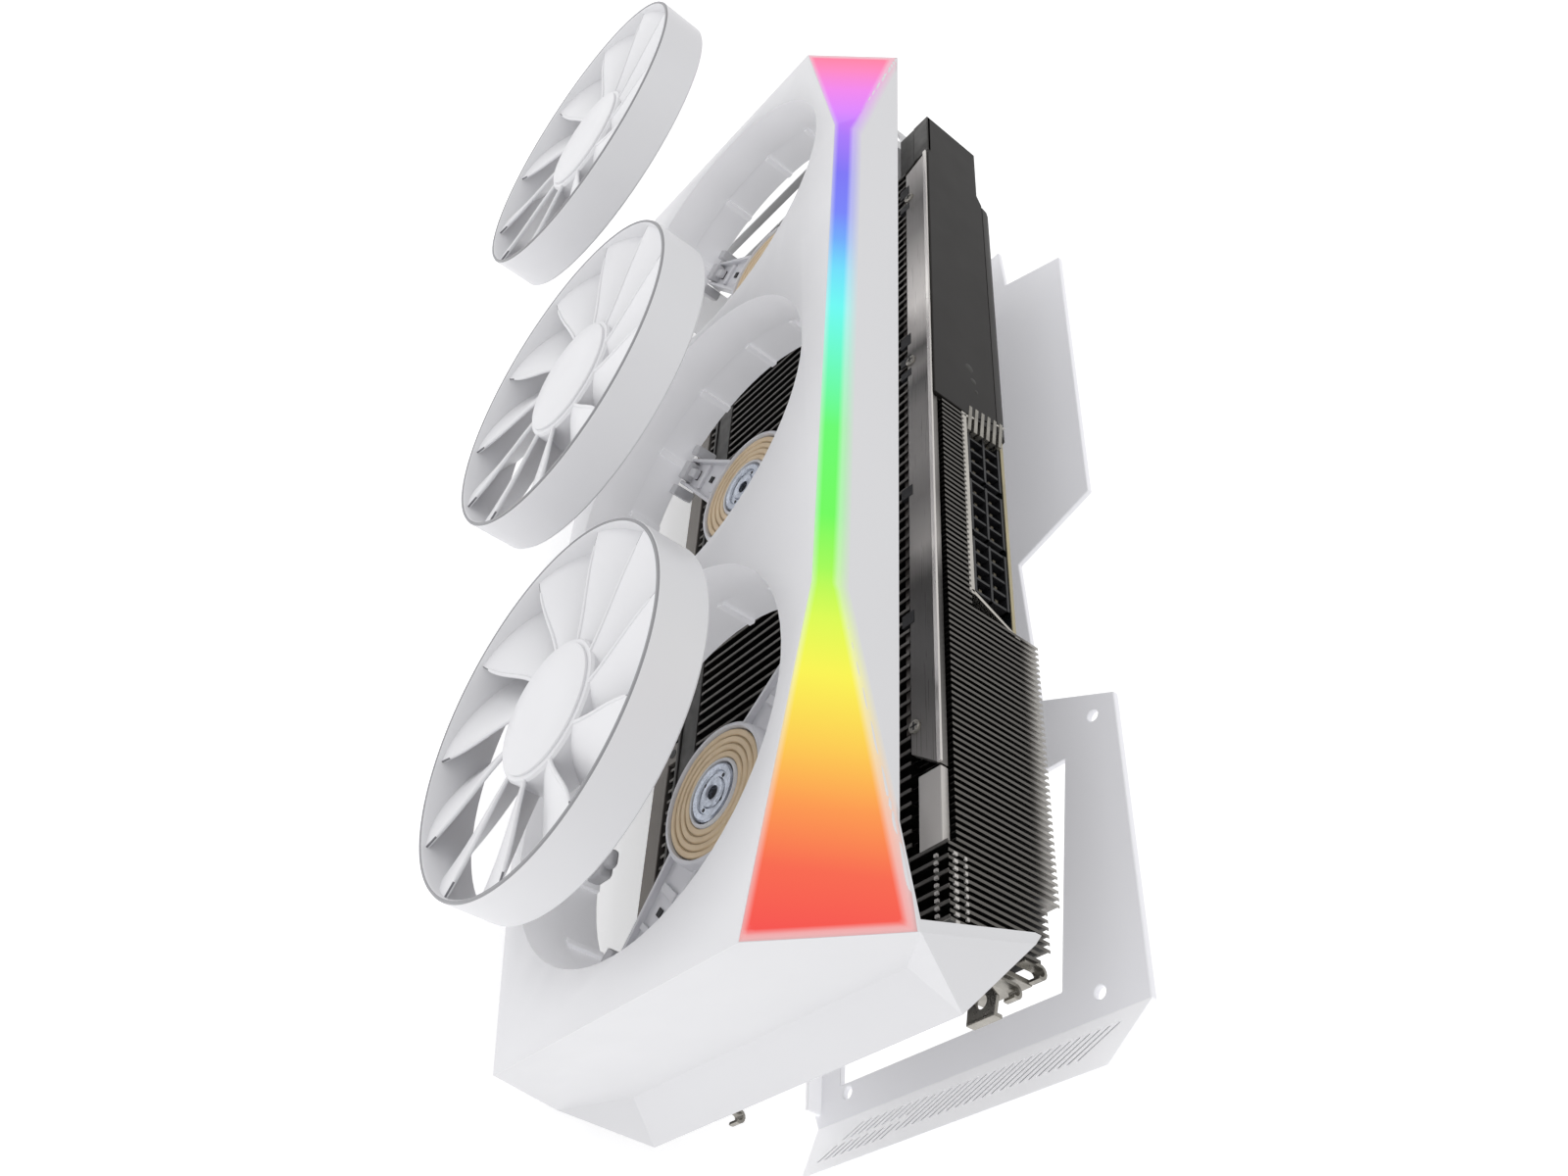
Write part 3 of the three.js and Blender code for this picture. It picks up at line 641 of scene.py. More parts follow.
def facing(axis):
    """The turn that brings what was drawn facing along Y to face along axis."""
    return Vector((0, 1, 0)).rotation_difference(Vector(axis))


def add_tube(bm, points, radii, sides=8, material=0):
    """A round bar through the points, with a radius at each."""
    rings = []
    for point, ahead, radius in zip(points, directions(points), radii):
        turn = ahead.to_track_quat("Z", "Y")
        ring = []
        for k in range(sides):
            a = 2 * math.pi * k / sides
            offset = turn @ Vector((radius * math.cos(a), radius * math.sin(a), 0))
            ring.append(bm.verts.new(point + offset))
        rings.append(ring)
    add_skin(bm, rings, material)


def directions(points):
    """Which way a path runs at each of its points."""
    return [b - a for a, b in zip(points[:1] + points[:-1], points[1:] + points[-1:])]


def cad_copy(node):
    return drawing_of(frame["nodes"][node].data, whole_faces=True)


def refined(node, look, bevel):
    """The CAD node's own shape with softened edges."""
    name = f"{node}_finished"
    return make_piece(name, cad_copy(node), look, node, [node], bevel=bevel, smooth_angle=25)


def carved(bm, tool, whole_faces=False):
    """bm with everything inside tool's closed bodies taken away."""
    holders = []
    for source in (bm, tool):
        holder = bpy.data.objects.new("carving", mesh_in_metres("carving", source))
        scene.collection.objects.link(holder)
        holders.append(holder)
    target, cutter = holders
    difference = target.modifiers.new("difference", "BOOLEAN")
    difference.operation = "DIFFERENCE"
    difference.solver = "EXACT"
    difference.object = cutter
    graph = bpy.context.evaluated_depsgraph_get()
    cut_mesh = bpy.data.meshes.new_from_object(target.evaluated_get(graph))
    result = drawing_of(cut_mesh, whole_faces)
    for holder in holders:
        bpy.data.objects.remove(holder)
    return result


# ---------------------------------------------------------------- fans
blade_count = 11
ring_wall = 1.3
hub_radius = 18.6
hub_recess = 2.8
edge_sweep = math.radians(13)
blade_chord = math.radians(38)
notch_share = 0.86
# How far round each fan has turned, from +X towards +Z.
fan_turn = {1: math.radians(12), 2: math.radians(2), 3: math.radians(-1)}


def blade_radius(s):
    root, tip = hub_radius * 0.93, fan_radius - ring_wall * 0.6
    return root + (tip - root) * s


def blade_point(n, turn, s, t):
    """A point of a blade: s from the hub to the ring, t from the front edge round to the back."""
    front = fan_spans[n].y0 + 4.0 - 2.9 * s
    back = fan_spans[n].y1 - 0.9
    radius = blade_radius(s)
    bow = math.radians(4) * math.sin(math.pi * s)
    angle = turn - edge_sweep * (1 - s) + bow - blade_chord * t
    y = front + (back - front) * (0.20 * t + 0.80 * t * t)
    return Vector((fan_x[n] + radius * math.cos(angle), y, fan_z + radius * math.sin(angle)))


def add_blade(bm, n, turn):
    """A thin curved blade, closed all round."""
    steps = 12
    shares = [i / steps for i in range(steps + 1)]
    points = [[blade_point(n, turn, s, t) for t in shares] for s in shares]
    sides = []
    for thickness in (0, 0.9):
        lift = Vector((0, thickness, 0))
        sides.append([[bm.verts.new(p + lift) for p in row] for row in points])
        add_sheet(bm, sides[-1])
    for end in (0, -1):
        add_sheet(bm, [side[end] for side in sides])
        add_sheet(bm, [[row[end] for row in side] for side in sides])


def add_blade_edge(bm, n, turn):
    """The thick rounded front edge, which stops short of the ring; beyond it a thin edge in the second
    material, grey in use, is painted shadow of the notch.
    """
    lift = Vector((0, 0.25, 0))
    thick = [notch_share * i / 16 for i in range(17)]
    thin = [notch_share + (1 - notch_share) * i / 5 for i in range(6)]
    radii = [0.62 - 0.12 * s for s in thick[:-1]] + [0.36]
    add_tube(bm, [blade_point(n, turn, s, 0) + lift for s in thick], radii, sides=10)
    points = [blade_point(n, turn, s, 0) + lift for s in thin]
    add_tube(bm, points, [0.27] * len(points), sides=8, material=1)


def fan_ring(n):
    y0, y1 = fan_spans[n].y0, fan_spans[n].y1
    inner = fan_radius - ring_wall
    return turned(n, [
        (fan_radius - 0.35, y0), (fan_radius, y0 + 0.5), (fan_radius, y1 - 0.5),
        (fan_radius - 0.4, y1), (inner + 0.2, y1), (inner, y1 - 0.4), (inner, y0 + 0.5),
        (inner + 0.3, y0),
    ], sides=160)


def fan_rim(n):
    """The thin grey line round the front of the ring: painted shadow."""
    y0 = fan_spans[n].y0
    middle = fan_radius - 0.60
    half = 0.50
    return turned(n, [
        (middle - half, y0 + 0.30), (middle - half * 0.6, y0 - 0.12),
        (middle + half * 0.6, y0 - 0.12), (middle + half, y0 + 0.30),
    ], sides=160)


def fan_hub(n):
    """The hub's cup: a flat front with a soft edge, hollow behind."""
    y0 = fan_spans[n].y0 + hub_recess
    y1 = fan_spans[n].y1
    wall = 1.5
    return turned(n, [
        (0, y0 + 0.7), (hub_radius - 1.6, y0 + 0.7), (hub_radius - 0.5, y0 + 0.9),
        (hub_radius, y0 + 1.6), (hub_radius, y1 - 0.4), (hub_radius - 0.4, y1),
        (hub_radius - wall, y1), (hub_radius - wall, y0 + 3.0), (0, y0 + 3.0),
    ], closed=False)


def fan_cap(n):
    """A thin raised disc on the hub, with a groove round it."""
    y0 = fan_spans[n].y0 + hub_recess
    radius = hub_radius - 1.5
    return turned(n, [
        (0, y0 - 0.35), (radius * 0.5, y0 - 0.28), (radius - 0.6, y0 - 0.05),
        (radius - 0.15, y0 + 0.12), (radius, y0 + 0.5), (radius - 0.1, y0 + 0.9), (0, y0 + 0.9),
    ], closed=False)


def fan_magnet(n):
    """The plated post in the hub, which the motor's spindle holds."""
    post = span(f"fan_magnet_{n}")
    radius = (post.x1 - post.x0) / 2
    return turned(n, [
        (0, post.y0), (radius - 0.3, post.y0), (radius, post.y0 + 0.3), (radius, post.y1 - 0.5),
        (radius - 0.5, post.y1), (radius * 0.45, post.y1), (radius * 0.35, post.y1 - 1.2),
        (0, post.y1 - 1.2),
    ], sides=64, closed=False)


def make_fan(n):
    rotor = f"fan_rotor_{n}"
    make_piece(f"fan_ring_{n}", fan_ring(n), "fan", rotor, [rotor])
    make_piece(f"fan_rim_painted_shadow_{n}", fan_rim(n), "rim", rotor)
    blades = bmesh.new()
    edges = bmesh.new()
    for k in range(blade_count):
        turn = fan_turn[n] + 2 * math.pi * k / blade_count
        add_blade(blades, n, turn)
        add_blade_edge(edges, n, turn)
    make_piece(f"fan_blades_{n}", blades, "fan", rotor, smooth_angle=50)
    make_piece(f"fan_blade_edges_{n}", edges, "fan", rotor, smooth_angle=60, second="notch")
    make_piece(f"fan_hub_{n}", fan_hub(n), "fan", rotor)
    make_piece(f"fan_hub_disc_{n}", fan_cap(n), "fan", f"fan_hub_cap_{n}", [f"fan_hub_cap_{n}"])
    make_piece(f"fan_post_{n}", fan_magnet(n), "nickel", f"fan_magnet_{n}", [f"fan_magnet_{n}"])


# ---------------------------------------------------------------- motors and their arms
arm_front = span("fan_mount_1").y0
motor_front = span("motor_stator_1").y0
motor_radius = (span("motor_stator_1").x1 - span("motor_stator_1").x0) / 2
spindle_radius = (span("motor_spindle_1").x1 - span("motor_spindle_1").x0) / 2
# Which way each arm leans in X and Z: the tail fan's the other way from the rest.
arm_lean = {1: 1, 2: 1, 3: -1}


def on_arm(bm, n):
    """Turns what was drawn along X onto the arm's diagonal and moves it to the fan's centre."""
    move(bm, Matrix.Rotation(-arm_lean[n] * math.pi / 4, 4, "Y"), (fan_x[n], 0, fan_z))
    return bm


def arm_plate(n):
    """A flat arm with raised edges, which narrows towards both ends."""
    bm = bmesh.new()
    wide, narrow, reach = 8.6, 4.6, 51.5
    rim = 1.2
    root = motor_radius * 0.8
    add_prism(bm, [
        (-reach, -narrow), (0, -wide), (reach, -narrow), (reach, narrow), (0, wide), (-reach, narrow),
    ], "Y", arm_front + 0.8, arm_front + 3.2)
    for side in (-1, 1):
        for end in (-1, 1):
            add_prism(bm, [
                (end * root, side * wide), (end * reach, side * narrow),
                (end * reach, side * (narrow - rim)), (end * root, side * (wide - rim)),
            ], "Y", arm_front - 1.0, arm_front + 3.6)
    for end in (-1, 1):
        for step, width in ((27, 2.6), (38, 1.8)):
            add_pad(bm, end * step, 0, width / 2, 4.2, arm_front - 0.2, arm_front + 2)
    return on_arm(bm, n)


def arm_holes(n):
    """Small slots and sockets in the arm, drawn as dark pads: painted shade in place of holes."""
    bm = bmesh.new()
    for end in (-1, 1):
        for step, long, wide in ((32.5, 2.2, 2.2), (44, 1.4, 3.4)):
            add_pad(bm, end * step, 0, long / 2, wide / 2, arm_front + 0.45, arm_front + 1.6)
    return on_arm(bm, n)


def arm_clips(n):
    """The catches at the arm's ends, where it meets the opening's wall."""
    bm = bmesh.new()
    for end in (-1, 1):
        for across, half in ((-7.4, 1.7), (7.4, 1.7), (0, 3.2)):
            add_pad(bm, end * 49.6, across, 2.2, half, arm_front - 2.6, arm_front + 4.4)
        add_pad(bm, end * 45.5, 0, 2.5, 1.6, arm_front - 1.4, arm_front + 0.6)
    return on_arm(bm, n)


def wall_lug():
    """A rounded lug on the tail opening's wall, on the slot side."""
    bm = bmesh.new()
    x, z = fan_x[3], fan_z - opening_radius
    add_block(bm, x - 4.5, x + 4.5, arm_front - 5, arm_front - 0.6, z, z + 7)
    add_block(bm, x - 2.6, x + 2.6, arm_front - 4.2, arm_front - 1.2, z + 5, z + 10)
    return bm


def motor_rim(n):
    """The silver dish that holds the winding."""
    inner = motor_radius - 1.3
    outer = motor_radius + 0.4
    y = motor_front
    return turned(n, [
        (inner, y + 0.3), (inner + 0.35, y - 0.45), (outer - 0.5, y - 0.35), (outer, y + 0.3),
        (outer + 0.5, arm_front + 3.4), (3, arm_front + 3.4), (3, arm_front + 0.2),
        (inner, arm_front - 0.2),
    ], sides=120)


def motor_winding(n):
    """Wide gold rings with narrow darker grooves between them."""
    y = motor_front
    inner = spindle_radius + 1.6
    outer = motor_radius - 1.6
    grooves = 3
    groove = 0.28
    band = (outer - inner - grooves * groove) / (grooves + 1)
    bm = bmesh.new()
    radius = inner
    for k in range(grooves + 1):
        add_lathe(bm, [
            (radius, y + 0.35), (radius + 0.25, y + 0.05), (radius + band - 0.25, y + 0.05),
            (radius + band, y + 0.35), (radius + band, arm_front - 0.3), (radius, arm_front - 0.3),
        ], fan_x[n], fan_z, sides=96)
        if k < grooves:
            add_lathe(bm, [
                (radius + band, y + 0.55), (radius + band + groove, y + 0.55),
                (radius + band + groove, arm_front - 0.5), (radius + band, arm_front - 0.5),
            ], fan_x[n], fan_z, sides=96, material=1)
        radius += band + groove
    return bm


def motor_collar(n):
    """The white ring between the winding and the spindle."""
    y = motor_front
    return turned(n, [
        (spindle_radius + 0.35, y + 0.2), (spindle_radius + 0.6, y - 0.3),
        (spindle_radius + 1.1, y - 0.3), (spindle_radius + 1.5, y + 0.2),
        (spindle_radius + 1.5, arm_front - 0.3), (spindle_radius + 0.35, arm_front - 0.3),
    ])


def motor_spindle(n):
    """A stepped, turned cup with a bored centre and four shallow pockets; the bore's bottom and the
    pockets are dark discs, painted shade.
    """
    x, z, r = fan_x[n], fan_z, spindle_radius
    y, back = span(f"motor_spindle_{n}").y0, span(f"motor_spindle_{n}").y1
    bm = turned(n, [
        (r * 0.22, y + 2.2), (r * 0.24, y + 0.35), (r * 0.36, y + 0.1), (r * 0.50, y + 0.1),
        (r * 0.54, y + 0.6), (r * 0.72, y + 0.6), (r * 0.76, y + 0.1), (r * 0.94, y), (r, y + 0.4),
        (r, arm_front - 0.35), (1.5, arm_front - 0.35), (1.5, back), (0, back),
    ], sides=72, closed=False)
    add_disc(bm, r * 0.23, y + 1.4, y + 2.4, x, z, sides=48, material=1)
    for k in range(4):
        a = math.pi / 4 + k * math.pi / 2
        pocket_x, pocket_z = x + r * 0.63 * math.cos(a), z + r * 0.63 * math.sin(a)
        add_disc(bm, 0.55, y + 0.52, y + 0.9, pocket_x, pocket_z, sides=16, material=1)
    return bm


def make_motor(n):
    mount, stator, spindle = f"fan_mount_{n}", f"motor_stator_{n}", f"motor_spindle_{n}"
    make_piece(f"arm_plate_{n}", arm_plate(n), "arm", mount, [mount], bevel=0.3)
    make_piece(f"arm_holes_{n}", arm_holes(n), "dark", mount)
    make_piece(f"arm_clips_{n}", arm_clips(n), "clip", mount, bevel=0.5)
    make_piece(f"motor_dish_{n}", motor_rim(n), "arm", mount)
    make_piece(f"motor_winding_{n}", motor_winding(n), "gold", stator, [stator], second="gold_dark")
    make_piece(f"motor_collar_{n}", motor_collar(n), "fan", stator)
    make_piece(f"motor_spindle_turned_{n}", motor_spindle(n), "spindle", spindle, [spindle],
               second="dark")


# ---------------------------------------------------------------- shroud
wall_step_y = shroud.y0 + 13
wall_back_y = arm_front - 0.3
opening_radius = 52.5
step_depth = 0.9
wall_margin = 2.4


def shroud_cutters():
    """A shallow step round the back half of each opening's wall."""
    bm = bmesh.new()
    for n in fan_numbers:
        add_lathe(bm, [
            (opening_radius - 2, wall_step_y), (opening_radius + step_depth, wall_step_y),
            (opening_radius + step_depth, wall_back_y + 3), (opening_radius - 2, wall_back_y + 3),
        ], fan_x[n], fan_z, sides=64)
    return bm


def wall_ribs(n):
    """Short ribs round the stepped part of an opening's wall."""
    ribs = 14
    radius = opening_radius + step_depth / 2
    bm = bmesh.new()
    for k in range(ribs):
        first = len(bm.verts)
        add_block(bm, radius - 0.8, radius + 0.6, wall_step_y + 0.3, wall_back_y, -1.1, 1.1)
        turn = Matrix.Rotation(2 * math.pi * (k + 0.3) / ribs, 4, "Y")
        move(bm, turn, (fan_x[n], 0, fan_z), first)
    return bm


def light_planes():
    """The flat facets that the lit bar lies on, as (normal, distance), from the CAD light bar."""
    mesh = frame["nodes"]["light_bar"].data
    points = [v.co / MM for v in mesh.vertices]
    flat_enough, same_way, least_area = 0.02, 0.02, 1.0
    planes = []
    for polygon in mesh.polygons:
        normal = polygon.normal.copy()
        distance = normal.dot(points[polygon.vertices[0]])
        steep = normal.z < 0.2
        known = any((normal - other).length < same_way for other, _ in planes)
        small = polygon.area < least_area * MM * MM
        if steep or known or small:
            continue
        if all(normal.dot(p) < distance + flat_enough for p in points):
            planes.append((normal, distance))
    return planes


def surface_height(planes, x, y):
    return min((distance - n.x * x - n.y * y) / n.z for n, distance in planes)


# The lit outline seen from above, in the shroud's own lengths from its bracket end and its face.
bar_near, bar_far = 0.9, 4.6
bar_start, bar_end = 3, 338
head_taper, tail_taper = 67, 257
head_depth, tail_depth = 21, 26.6
tail_slope = 8.5 / 41.2
side_end = 311
side_start_depth, side_end_depth = 23.6, 30


def bar_far_edge(along):
    """How deep the bar reaches at a place along it: wide at both ends, narrow between."""
    if along < head_taper:
        share = (head_taper - along) / (head_taper - bar_start)
        return bar_far + (head_depth - bar_far) * share
    if along > tail_taper:
        share = (along - tail_taper) / (bar_end - tail_slope * tail_depth - tail_taper)
        return bar_far + (tail_depth - bar_far) * share
    return bar_far


def side_depth(along):
    """How deep the shroud's own side is: it deepens past the last opening, towards the tail."""
    share = max(0, (along - side_end) / (bar_end - side_end))
    return side_start_depth + share * (side_end_depth - side_start_depth)


def film_far_edge(along):
    return min(bar_far_edge(along) + halo_width, side_depth(along))


def edge_distance(along, depth):
    """Millimetres inside the bar's outline, or below zero outside it."""
    slope = (bar_far_edge(along + 1) - bar_far_edge(along - 1)) / 2
    far = (bar_far_edge(along) - depth) / math.hypot(1, slope)
    near = depth - bar_near
    head = along - bar_start
    tail = bar_end - tail_slope * depth - along
    return min(far, near, head, tail)


film_columns, film_rows = 420, 26
film_lift, film_sink = 0.09, 0.02
film_near, film_start = 0.15, 0.2


def film_place(share, deep):
    """How far along and how deep a point of the film lies, from its shares of both."""
    guess = bar_start + (bar_end - bar_start) * share
    far = film_far_edge(min(guess, bar_end - tail_slope * tail_depth))
    depth = film_near + (far - film_near) * deep
    last = min(bar_end + halo_width, shroud.x1 - shroud.x0 - film_start)
    end = last - tail_slope * depth
    along = film_start + (end - film_start) * share
    far = film_far_edge(min(along, end))
    return along, film_near + (far - film_near) * deep


def light_film():
    """A thin film over the lit bar and the few millimetres of shroud round it, which carries the bar's
    painted light spill.
    """
    planes = light_planes()
    bm = bmesh.new()
    layer = bm.verts.layers.float.new(glow_name)
    grid = []
    for i in range(film_columns + 1):
        grid.append([])
        for j in range(film_rows + 1):
            along, depth = film_place(i / film_columns, j / film_rows)
            distance = edge_distance(along, depth)
            rise = film_lift * min(1, max(0, 1 + distance / halo_width)) - film_sink
            x, y = shroud.x0 + along, shroud.y0 + depth
            vert = bm.verts.new((x, y, surface_height(planes, x, y) + rise))
            vert[layer] = distance
            grid[-1].append(vert)
    add_sheet(bm, grid)
    return bm


def make_shroud():
    shell = carved(cad_copy("shroud_shell"), shroud_cutters(), whole_faces=True)
    # The faces of the openings' walls take the second look, which glows faintly: painted bounce light.
    for face in shell.faces:
        middle = face.calc_center_median()
        axis_gap = min(math.hypot(middle.x - fan_x[n], middle.z - fan_z) for n in fan_numbers)
        if axis_gap < opening_radius + wall_margin and abs(face.normal.y) < 0.5:
            face.material_index = 1
    make_piece("shroud_shell_finished", shell, "shroud", "shroud_shell", ["shroud_shell"],
               bevel=0.45, smooth_angle=14, second="wall")
    for n in fan_numbers:
        make_piece(f"opening_ribs_{n}", wall_ribs(n), "wall", "shroud_shell", bevel=0.25)
    make_piece("opening_lug", wall_lug(), "clip", "shroud_shell", bevel=1.2)
    refined("light_bar", "light", 0)
    film = make_piece("light_bar_glow", light_film(), "glow", "light_bar")
    thicken = film.modifiers.new("film_thickness", "SOLIDIFY")
    thicken.thickness = 0.05 * MM
    thicken.offset = -1


# ---------------------------------------------------------------- heatsink
fin_pitch = 1.86
fin_sheet = 0.30
lip_width = 0.80
front_lip = 0.95
recessed_front = 2.2


def fin_outline(x):
    """One fin's outline in Y and Z at a place along the card, as (y, z) points."""
    front = fins.y0 + 0.2
    top = fins.z1 - 0.1
    low = fins.z0 + 0.3
    under_rail = rail.y1 + 0.3
    back = tail_fins.y1 if x > tail_fins.x0 else fins.y1
    if x < cover.x1:
        top = cover_under - 0.3
    if x > block.x1 + 3:
        back = tail_fins.y1 - 4.5
    if x > tail_fins.x1:
        back = tail_fins.y1 - 8
    points = [(front, low), (back, low)]
    near_sockets = sockets_frame.x0 - 1 < x < tail_fins.x0
    if near_sockets:
        shelf = sockets_frame.y0 - 0.8
        points += [(back, -2.5), (shelf, -2.5), (shelf, top)]
    else:
        points += [(back, top)]
    if x < block.x1:
        points += [(under_rail, top), (under_rail, rail.z0 - 0.4), (front, rail.z0 - 0.4)]
    else:
        points += [(front, top)]
    return points


def fin_places():
    count = int((tail_fins.x1 + 3.2 - fins.x0) / fin_pitch)
    return [fins.x0 + k * fin_pitch for k in range(count + 1)]


def add_fin_lips(bm, k, x):
    """A fin's top edge folded over, and every second front edge too. The rest stand further back."""
    outline = fin_outline(x)
    front, top = min(p[0] for p in outline), max(p[1] for p in outline)
    along_top = [p[0] for p in outline if p[1] > top - 0.01]
    add_block(bm, x, x + lip_width, min(along_top), max(along_top), top, top + 0.12)
    along_front = [p[1] for p in outline if p[0] < front + 0.01]
    if k % 2:
        add_block(bm, x - front_lip / 2, x + front_lip / 2, front - 0.15, front + 0.15,
                  min(along_front), max(along_front))


def make_fins():
    plates = bmesh.new()
    lips = bmesh.new()
    for k, x in enumerate(fin_places()):
        outline = fin_outline(x)
        if k % 2 == 0:
            recess = min(p[0] for p in outline) + recessed_front
            outline = [(max(y, recess), z) for y, z in outline]
        add_prism(plates, outline, "X", x, x + fin_sheet)
        add_fin_lips(lips, k, x)
    make_piece("fin_plates", plates, "fins", "fin_stack_main", ["fin_stack_main", "fin_stack_tail"])
    make_piece("fin_lips", lips, "fin_lip", "fin_stack_main")


def fin_tabs():
    """The tabs that lock the fins together: two dotted columns near the tail's front corner, and
    rows of small notched tabs along the stack."""
    bm = bmesh.new()
    for x in fin_places():
        if x > block.x1 + 0.4:
            for y, wide in ((fins.y0 + 1.6, 1.2), (fins.y0 + 5.0, 0.8)):
                add_block(bm, x + 0.4, x + 1.25, y, y + wide, fins.z1 - 0.25, fins.z1 + 0.25)
            add_block(bm, x + 0.3, x + 1.1, fins.y0 - 0.3, fins.y0 + 0.3,
                      fins.z1 - 4.2, fins.z1 - 3.2)
    return bm


def fin_panel():
    """The smooth dark panel over the fins' ends on the slot side, with a step along it."""
    bm = bmesh.new()
    x0, x1 = slot_side.x0 + 20, slot_side.x1 - 4
    low = fins.z0 + 4.6
    add_block(bm, x0, x1, fins.y0 - 0.2, fins.y0 + 1.6, low, low + 7.5)
    add_block(bm, x0, x1, fins.y0 - 0.7, fins.y0 + 1.6, low - 1.2, low)
    return bm


def screw(bm, centre, axis, radius, height):
    """A round screw head with a cross slot, proud of the surface along axis. The slot is drawn as
    raised pads in the second material, dark in use: painted shade.
    """
    first = len(bm.verts)
    add_lathe(bm, [
        (0, height), (radius * 0.72, height), (radius * 0.95, height * 0.7),
        (radius, height * 0.2), (radius, -height), (0, -height),
    ], 0, 0, sides=24, closed=False)
    long, thin = radius * 0.62, radius * 0.14
    for half_x, half_z in ((long, thin), (thin, long)):
        add_pad(bm, 0, 0, half_x, half_z, height * 0.92, height * 1.04, material=1)
    move(bm, facing(axis), centre, first)


def rail_plate():
    """The long rail, cut on a slant at both ends."""
    bm = bmesh.new()
    slant = 7
    add_prism(bm, [
        (rail.x0 + 4, rail.z0), (rail.x1 - slant, rail.z0), (rail.x1, rail.z1), (rail.x0, rail.z1),
    ], "Y", rail.y0 - 0.2, rail.y1)
    return bm


def rail_lip():
    """The folded edge along the rail, a bright copy of the rail metal: painted highlight."""
    return lone_block(rail.x0, rail.x1, rail.y0 - 0.9, rail.y0 - 0.1, rail.z1 - 0.5, rail.z1 + 0.9)


def rail_inner_strip():
    """The dark step on the rail's inner side."""
    low, high = rail.z0 - 2.6, rail.z0 - 0.1
    return lone_block(rail.x0 + 6, rail.x1 - 14, rail.y0 + 0.8, rail.y1, low, high)


def rail_notches():
    """Cut-outs along the inner side of the rail, drawn as dark blocks, painted shade; by share of its
    length and how long.
    """
    notches = ((0.045, 5), (0.085, 3), (0.36, 5), (0.40, 3.5), (0.425, 3), (0.62, 4), (0.80, 4))
    bm = bmesh.new()
    for share, long in notches:
        x = rail.x0 + share * (rail.x1 - rail.x0)
        add_block(bm, x, x + long, rail.y0 - 0.32, rail.y0 + 0.9, rail.z0 - 2.7, rail.z0 + 1.6)
    return bm


def rail_screws():
    bm = bmesh.new()
    for share in (0.075, 0.413, 0.945):
        x = rail.x0 + share * (rail.x1 - rail.x0)
        screw(bm, (x, rail.y0 - 0.3, rail.z0 + 1.6), (0, -1, 0), 1.9, 0.6)
    return bm


def slot_rail_bridges():
    """Where a bridge joins the slot rail to the fins: shares of the rail's length."""
    length = slot_side.x1 - slot_side.x0
    return [slot_side.x0 + share * length for share in (0.12, 0.47, 0.66)]


def slot_rail_plate():
    """The taupe rail on the slot side, with a raised edge and three short bridges."""
    s = slot_side
    bm = lone_block(*s)
    add_block(bm, s.x0, s.x1, s.y0 - 0.6, s.y0 + 0.5, s.z1 - 1.0, s.z1)
    for x in slot_rail_bridges():
        add_block(bm, x, x + 7, s.y0 - 0.5, s.y1, s.z1 - 0.4, s.z1 + 4.6)
    return bm


# Round holes by the slot rail's bridges, drawn as dark discs: painted shade.
def slot_rail_holes():
    bm = bmesh.new()
    y, z = slot_side.y0, slot_side.z1 + 1.6
    for x in slot_rail_bridges():
        add_disc(bm, 1.5, y - 0.62, y + 0.4, x + 3.5, z, sides=24)
    return bm


def cover_sheet():
    """The black cover over the top edge, with a slanted step at the bracket end."""
    bm = bmesh.new()
    step_x = cover.x0 + 30
    low_back = cover.y1 - 7.2
    round_start = cover.y1 - 5
    add_prism(bm, [
        (cover.x0, cover.y0), (cover.x1, cover.y0), (cover.x1, round_start),
        (step_x, round_start), (step_x - 4, low_back), (cover.x0, low_back),
    ], "Z", cover_under, cover.z1)
    return bm


def cover_front():
    """The cover's turned-down front plate, with a crease down it."""
    bm = bmesh.new()
    far = rail.x0 - 0.3
    crease = cover.z0 + 7
    add_prism(bm, [
        (cover.x0, cover.z1), (far, cover.z1), (far, crease), (cover.x0, crease),
    ], "Y", cover.y0 - 0.1, cover.y0 + 1.5)
    add_prism(bm, [
        (cover.x0, crease - 0.15), (far, crease - 0.15), (far + 3, cover.z0), (cover.x0, cover.z0),
    ], "Y", cover.y0 + 0.15, cover.y0 + 1.5)
    return bm


def cover_edge():
    """The cover's back edge, which rolls over and down."""
    bm = bmesh.new()
    start = cover.y1 - 4.9
    add_prism(bm, [
        (start, cover.z1), (cover.y1 - 2.2, cover.z1 - 0.45), (cover.y1 - 0.5, cover.z1 - 1.4),
        (cover.y1, cover.z1 - 3.4), (cover.y1 - 1.2, cover.z1 - 3.4), (start, cover_under),
    ], "X", cover.x0 + 31, cover.x1 - 1.5)
    return bm


def cover_marks():
    """Three small round dimples pressed into the cover near its tail end."""
    bm = bmesh.new()
    for step, radius in ((0, 1.7), (5, 1.2), (9, 0.8)):
        first = len(bm.verts)
        profile = [(0, 0.06), (radius * 0.8, 0.06), (radius, 0), (radius, -0.5), (0, -0.5)]
        add_lathe(bm, profile, 0, 0, sides=28, closed=False)
        place = (cover.x1 - 22 + step, cover.y0 + 15 + step * 0.3, cover.z1)
        move(bm, facing((0, 0, 1)), place, first)
    return bm


